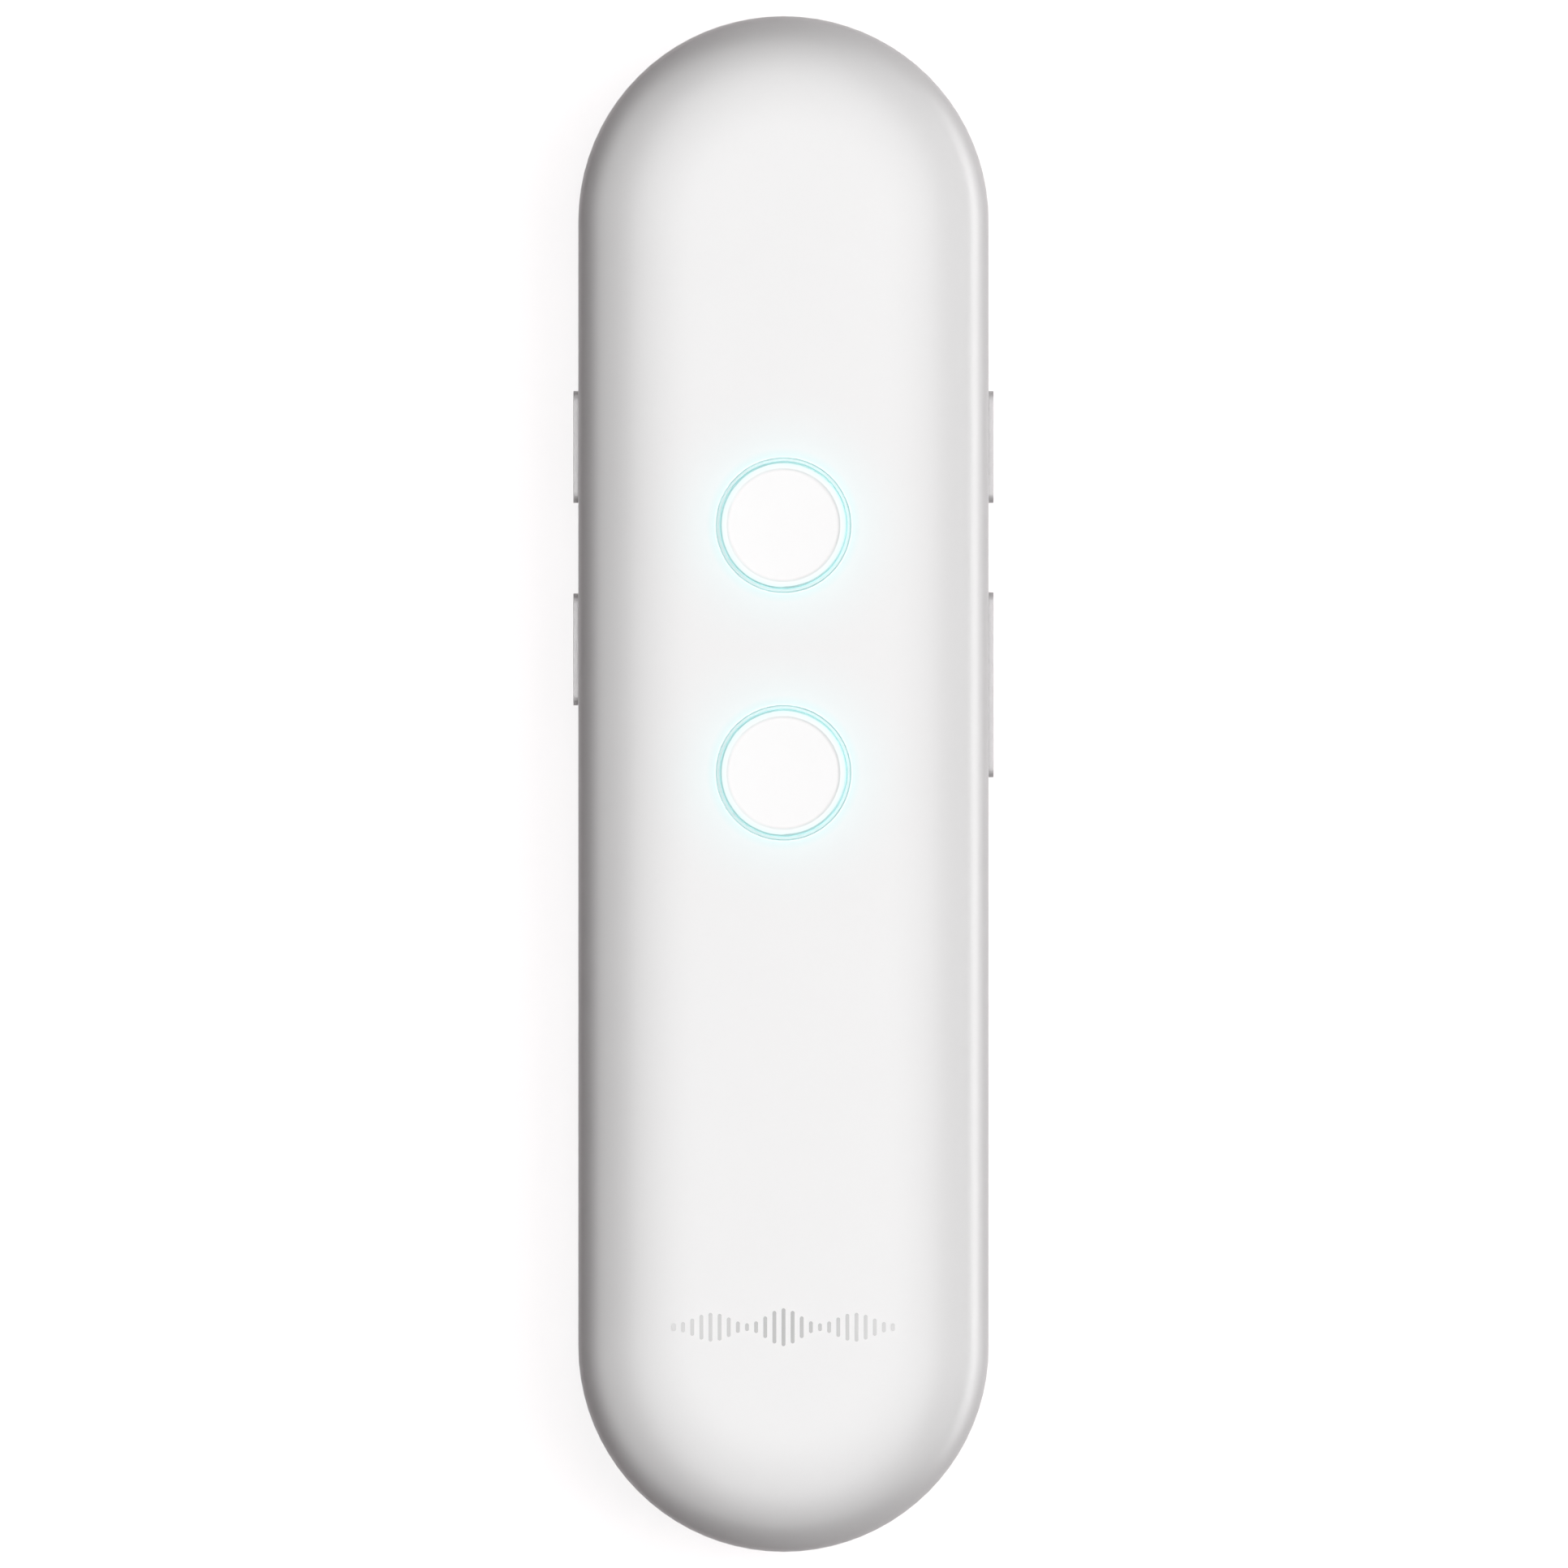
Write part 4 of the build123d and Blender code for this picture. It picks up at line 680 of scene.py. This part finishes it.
def surround_part_shape(middle, half_angle):
    """One part of the soft ring round the cone: a flat edge, a half roll that dips as half a sine, and a flat edge.

    The profile is carried round from half_angle before the middle direction to half_angle after it: a point goes to
    its distance times the cosine and sine of the angle. Both ends are closed.
    """
    way = np.linspace(0.0, 1.0, roll_steps)
    outer = (surround_high.x - surround_low.x) / 2
    dip = (surround_high.z - surround_low.z - surround_thickness) * np.sin(np.pi * way)
    roll = np.stack([roll_start + (roll_end - roll_start) * way, surround_high.z - dip], axis=1)
    edge_z = surround_high.z
    upper = np.concatenate([[[surround_inner, edge_z]], roll, [[outer, edge_z]]])
    profile = np.concatenate([upper - [0.0, surround_thickness], upper[::-1]])
    angle = np.linspace(middle - half_angle, middle + half_angle, part_steps + 1)[:, None]
    points = np.empty((part_steps + 1, len(profile), 3))
    points[..., 0] = surround_spot.x + profile[:, 0] * np.cos(angle)
    points[..., 1] = surround_spot.y + profile[:, 0] * np.sin(angle)
    points[..., 2] = profile[:, 1]
    loop = np.arange(len(profile))
    following = np.roll(loop, -1)
    here = np.arange(part_steps)[:, None] * len(profile)
    there = here + len(profile)
    skin = np.stack([here + loop, there + loop, there + following, here + following], axis=2)
    return points, [*skin.reshape(-1, 4).tolist(), loop.tolist(), (part_steps * len(profile) + loop[::-1]).tolist()]


new_piece("face_mark", *mark_shape(), hot_stamped_foil(), "steel", "case")
plugs = new_piece("soft_screw_plugs", *plug_shape(), finishes["grey_silicone"], "grey_silicone", "case")
plugs.data.shade_smooth()
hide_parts("screw_plugs")

for place in ("upper", "lower"):
    low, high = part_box(f"{place}_switch_dome")
    dome = new_piece(f"{place}_snap_dome", *dome_shape(low, high), finishes["steel"], "steel", "case")
    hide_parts(f"{place}_switch_dome")
    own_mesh(dome)

half_part = math.pi / surround_parts
for number in range(surround_parts):
    way = 2 * half_part * number
    shape = surround_part_shape(way, half_part)
    part = new_piece(f"soft_surround_{number + 1:02d}", *shape, finishes["black_rubber"], "black_rubber")
    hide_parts("speaker_surround")
    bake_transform(part)


# ---- floor, light and camera ----
def seen_directly(tree):
    """1 where a ray comes from the camera, from a shine or through glass."""
    rays = add(tree, "ShaderNodeLightPath").outputs
    total = 0.0
    for kind in ("Is Camera Ray", "Is Glossy Ray", "Is Transmission Ray"):
        total = add(tree, "ShaderNodeMath", {0: rays[kind], 1: total}, operation="ADD").outputs[0]
    return total


def make_floor():
    """A pale floor that shows nearly white to the camera, keeps the shadow, and is clear from beneath."""
    mesh = bpy.data.meshes.new("studio_floor")
    r = floor_half_size
    mesh.from_pydata([(-r, -r, floor_z), (r, -r, floor_z), (r, r, floor_z), (-r, r, floor_z)], [], [(0, 1, 2, 3)])
    floor = bpy.data.objects.new("studio_floor", mesh)
    bpy.context.scene.collection.objects.link(floor)
    material, tree, output = new_material("white_studio_floor")
    diffuse = add(tree, "ShaderNodeBsdfDiffuse", {"Color": linear(FLOOR_PALE)}).outputs["BSDF"]
    seen = seen_directly(tree)
    place = add(tree, "ShaderNodeTexCoord").outputs["Object"]
    away = add(tree, "ShaderNodeVectorMath", {0: place}, operation="LENGTH").outputs["Value"]
    share = add(tree, "ShaderNodeMapRange", {"Value": away, "From Max": floor_far}).outputs["Result"]
    pale = add(tree, "ShaderNodeValToRGB", {"Fac": share}, floor_lifts).outputs["Color"]
    strength = add(tree, "ShaderNodeMath", {0: seen, 1: pale}, operation="MULTIPLY").outputs[0]
    lift = add(tree, "ShaderNodeEmission", {"Strength": strength}).outputs["Emission"]
    lit = add(tree, "ShaderNodeAddShader", {0: diffuse, 1: lift}).outputs[0]
    clear = add(tree, "ShaderNodeBsdfTransparent").outputs["BSDF"]
    beneath = add(tree, "ShaderNodeNewGeometry").outputs["Backfacing"]
    both = add(tree, "ShaderNodeMixShader", {0: beneath, 1: lit, 2: clear}).outputs[0]
    tree.links.new(both, output.inputs["Surface"])
    mesh.materials.append(material)


def make_world():
    """White to the camera and in shines, and a dim, faintly warm fill on the surfaces."""
    world = bpy.data.worlds.new("studio_world")
    world.use_nodes = True
    tree = world.node_tree
    tree.nodes.clear()
    shown = {"Color": linear("#FFFFFF"), "Strength": seen_directly(tree)}
    white = add(tree, "ShaderNodeBackground", shown).outputs[0]
    on_surfaces = add(tree, "ShaderNodeLightPath").outputs["Is Diffuse Ray"]
    dim = add(tree, "ShaderNodeMath", {0: on_surfaces, 1: world_fill}, operation="MULTIPLY").outputs[0]
    fill = add(tree, "ShaderNodeBackground", {"Color": linear(FILL_TINT), "Strength": dim}).outputs[0]
    both = add(tree, "ShaderNodeAddShader", {0: white, 1: fill}).outputs[0]
    output = add(tree, "ShaderNodeOutputWorld")
    tree.links.new(both, output.inputs["Surface"])
    bpy.context.scene.world = world


def softbox(name, right_tilt, top_tilt, x_reach, y_reach, radiance, shine_only):
    """A rectangular area light aimed at the object's middle, given by the angles at which the object sees it.

    It lies straight above, turned right_tilt degrees towards +X and top_tilt degrees towards +Y, and reaches
    x_reach degrees to each side across X and y_reach degrees to each side along Y. Its power is pi times its area
    times its radiance. A card that is shine_only is seen in reflections and casts no light, and any other softbox
    casts light and leaves no reflection. A card fades to nothing at its edges: its brightness goes as the sine of
    half a turn across it, times the same along it.
    """
    width = 2 * lamp_distance * math.tan(math.radians(x_reach))
    length = 2 * lamp_distance * math.tan(math.radians(y_reach))
    lamp = bpy.data.lights.new(name, "AREA")
    lamp.shape = "RECTANGLE"
    lamp.size = width
    lamp.size_y = length
    lamp.energy = math.pi * width * length * radiance
    if shine_only:
        lamp.use_nodes = True
        tree = lamp.node_tree
        place = add(tree, "ShaderNodeNewGeometry").outputs["Parametric"]
        across_it, along_it = add(tree, "ShaderNodeSeparateXYZ", {"Vector": place}).outputs[:2]
        swells = []
        for way in (across_it, along_it):
            turn = add(tree, "ShaderNodeMath", {0: way, 1: math.pi}, operation="MULTIPLY").outputs[0]
            swells.append(add(tree, "ShaderNodeMath", {0: turn}, operation="SINE").outputs[0])
        swell = add(tree, "ShaderNodeMath", {0: swells[0], 1: swells[1]}, operation="MULTIPLY").outputs[0]
        tree.links.new(swell, tree.nodes["Emission"].inputs["Strength"])
    light = bpy.data.objects.new(name, lamp)
    back = Vector((math.tan(math.radians(right_tilt)), math.tan(math.radians(top_tilt)), 1.0)).normalized()
    across = Vector((0.0, 1.0, 0.0)).cross(back).normalized()
    light.rotation_euler = Matrix((across, back.cross(across), back)).transposed().to_euler()
    light.location = back * lamp_distance
    light.visible_camera = False
    light.visible_glossy = shine_only
    light.visible_diffuse = not shine_only
    bpy.context.scene.collection.objects.link(light)


def make_camera():
    """A long lens straight above the face, framed so that the outline has the size and place it should."""
    data = bpy.data.cameras.new("camera")
    data.lens = camera_lens
    data.sensor_width = sensor
    distance = image_pixels * metres_per_pixel * camera_lens / sensor
    data.clip_end = 4 * distance
    camera = bpy.data.objects.new("camera", data)
    across = (image_pixels / 2 - object_pixel[0]) * metres_per_pixel
    along = (object_pixel[1] - image_pixels / 2) * metres_per_pixel
    camera.location = (across, along, outline_z + distance)
    bpy.context.scene.collection.objects.link(camera)
    bpy.context.scene.camera = camera


make_floor()
make_world()
for lamp_row in lamps:
    softbox(*lamp_row)
make_camera()
bpy.context.scene.view_settings.view_transform = "Standard"
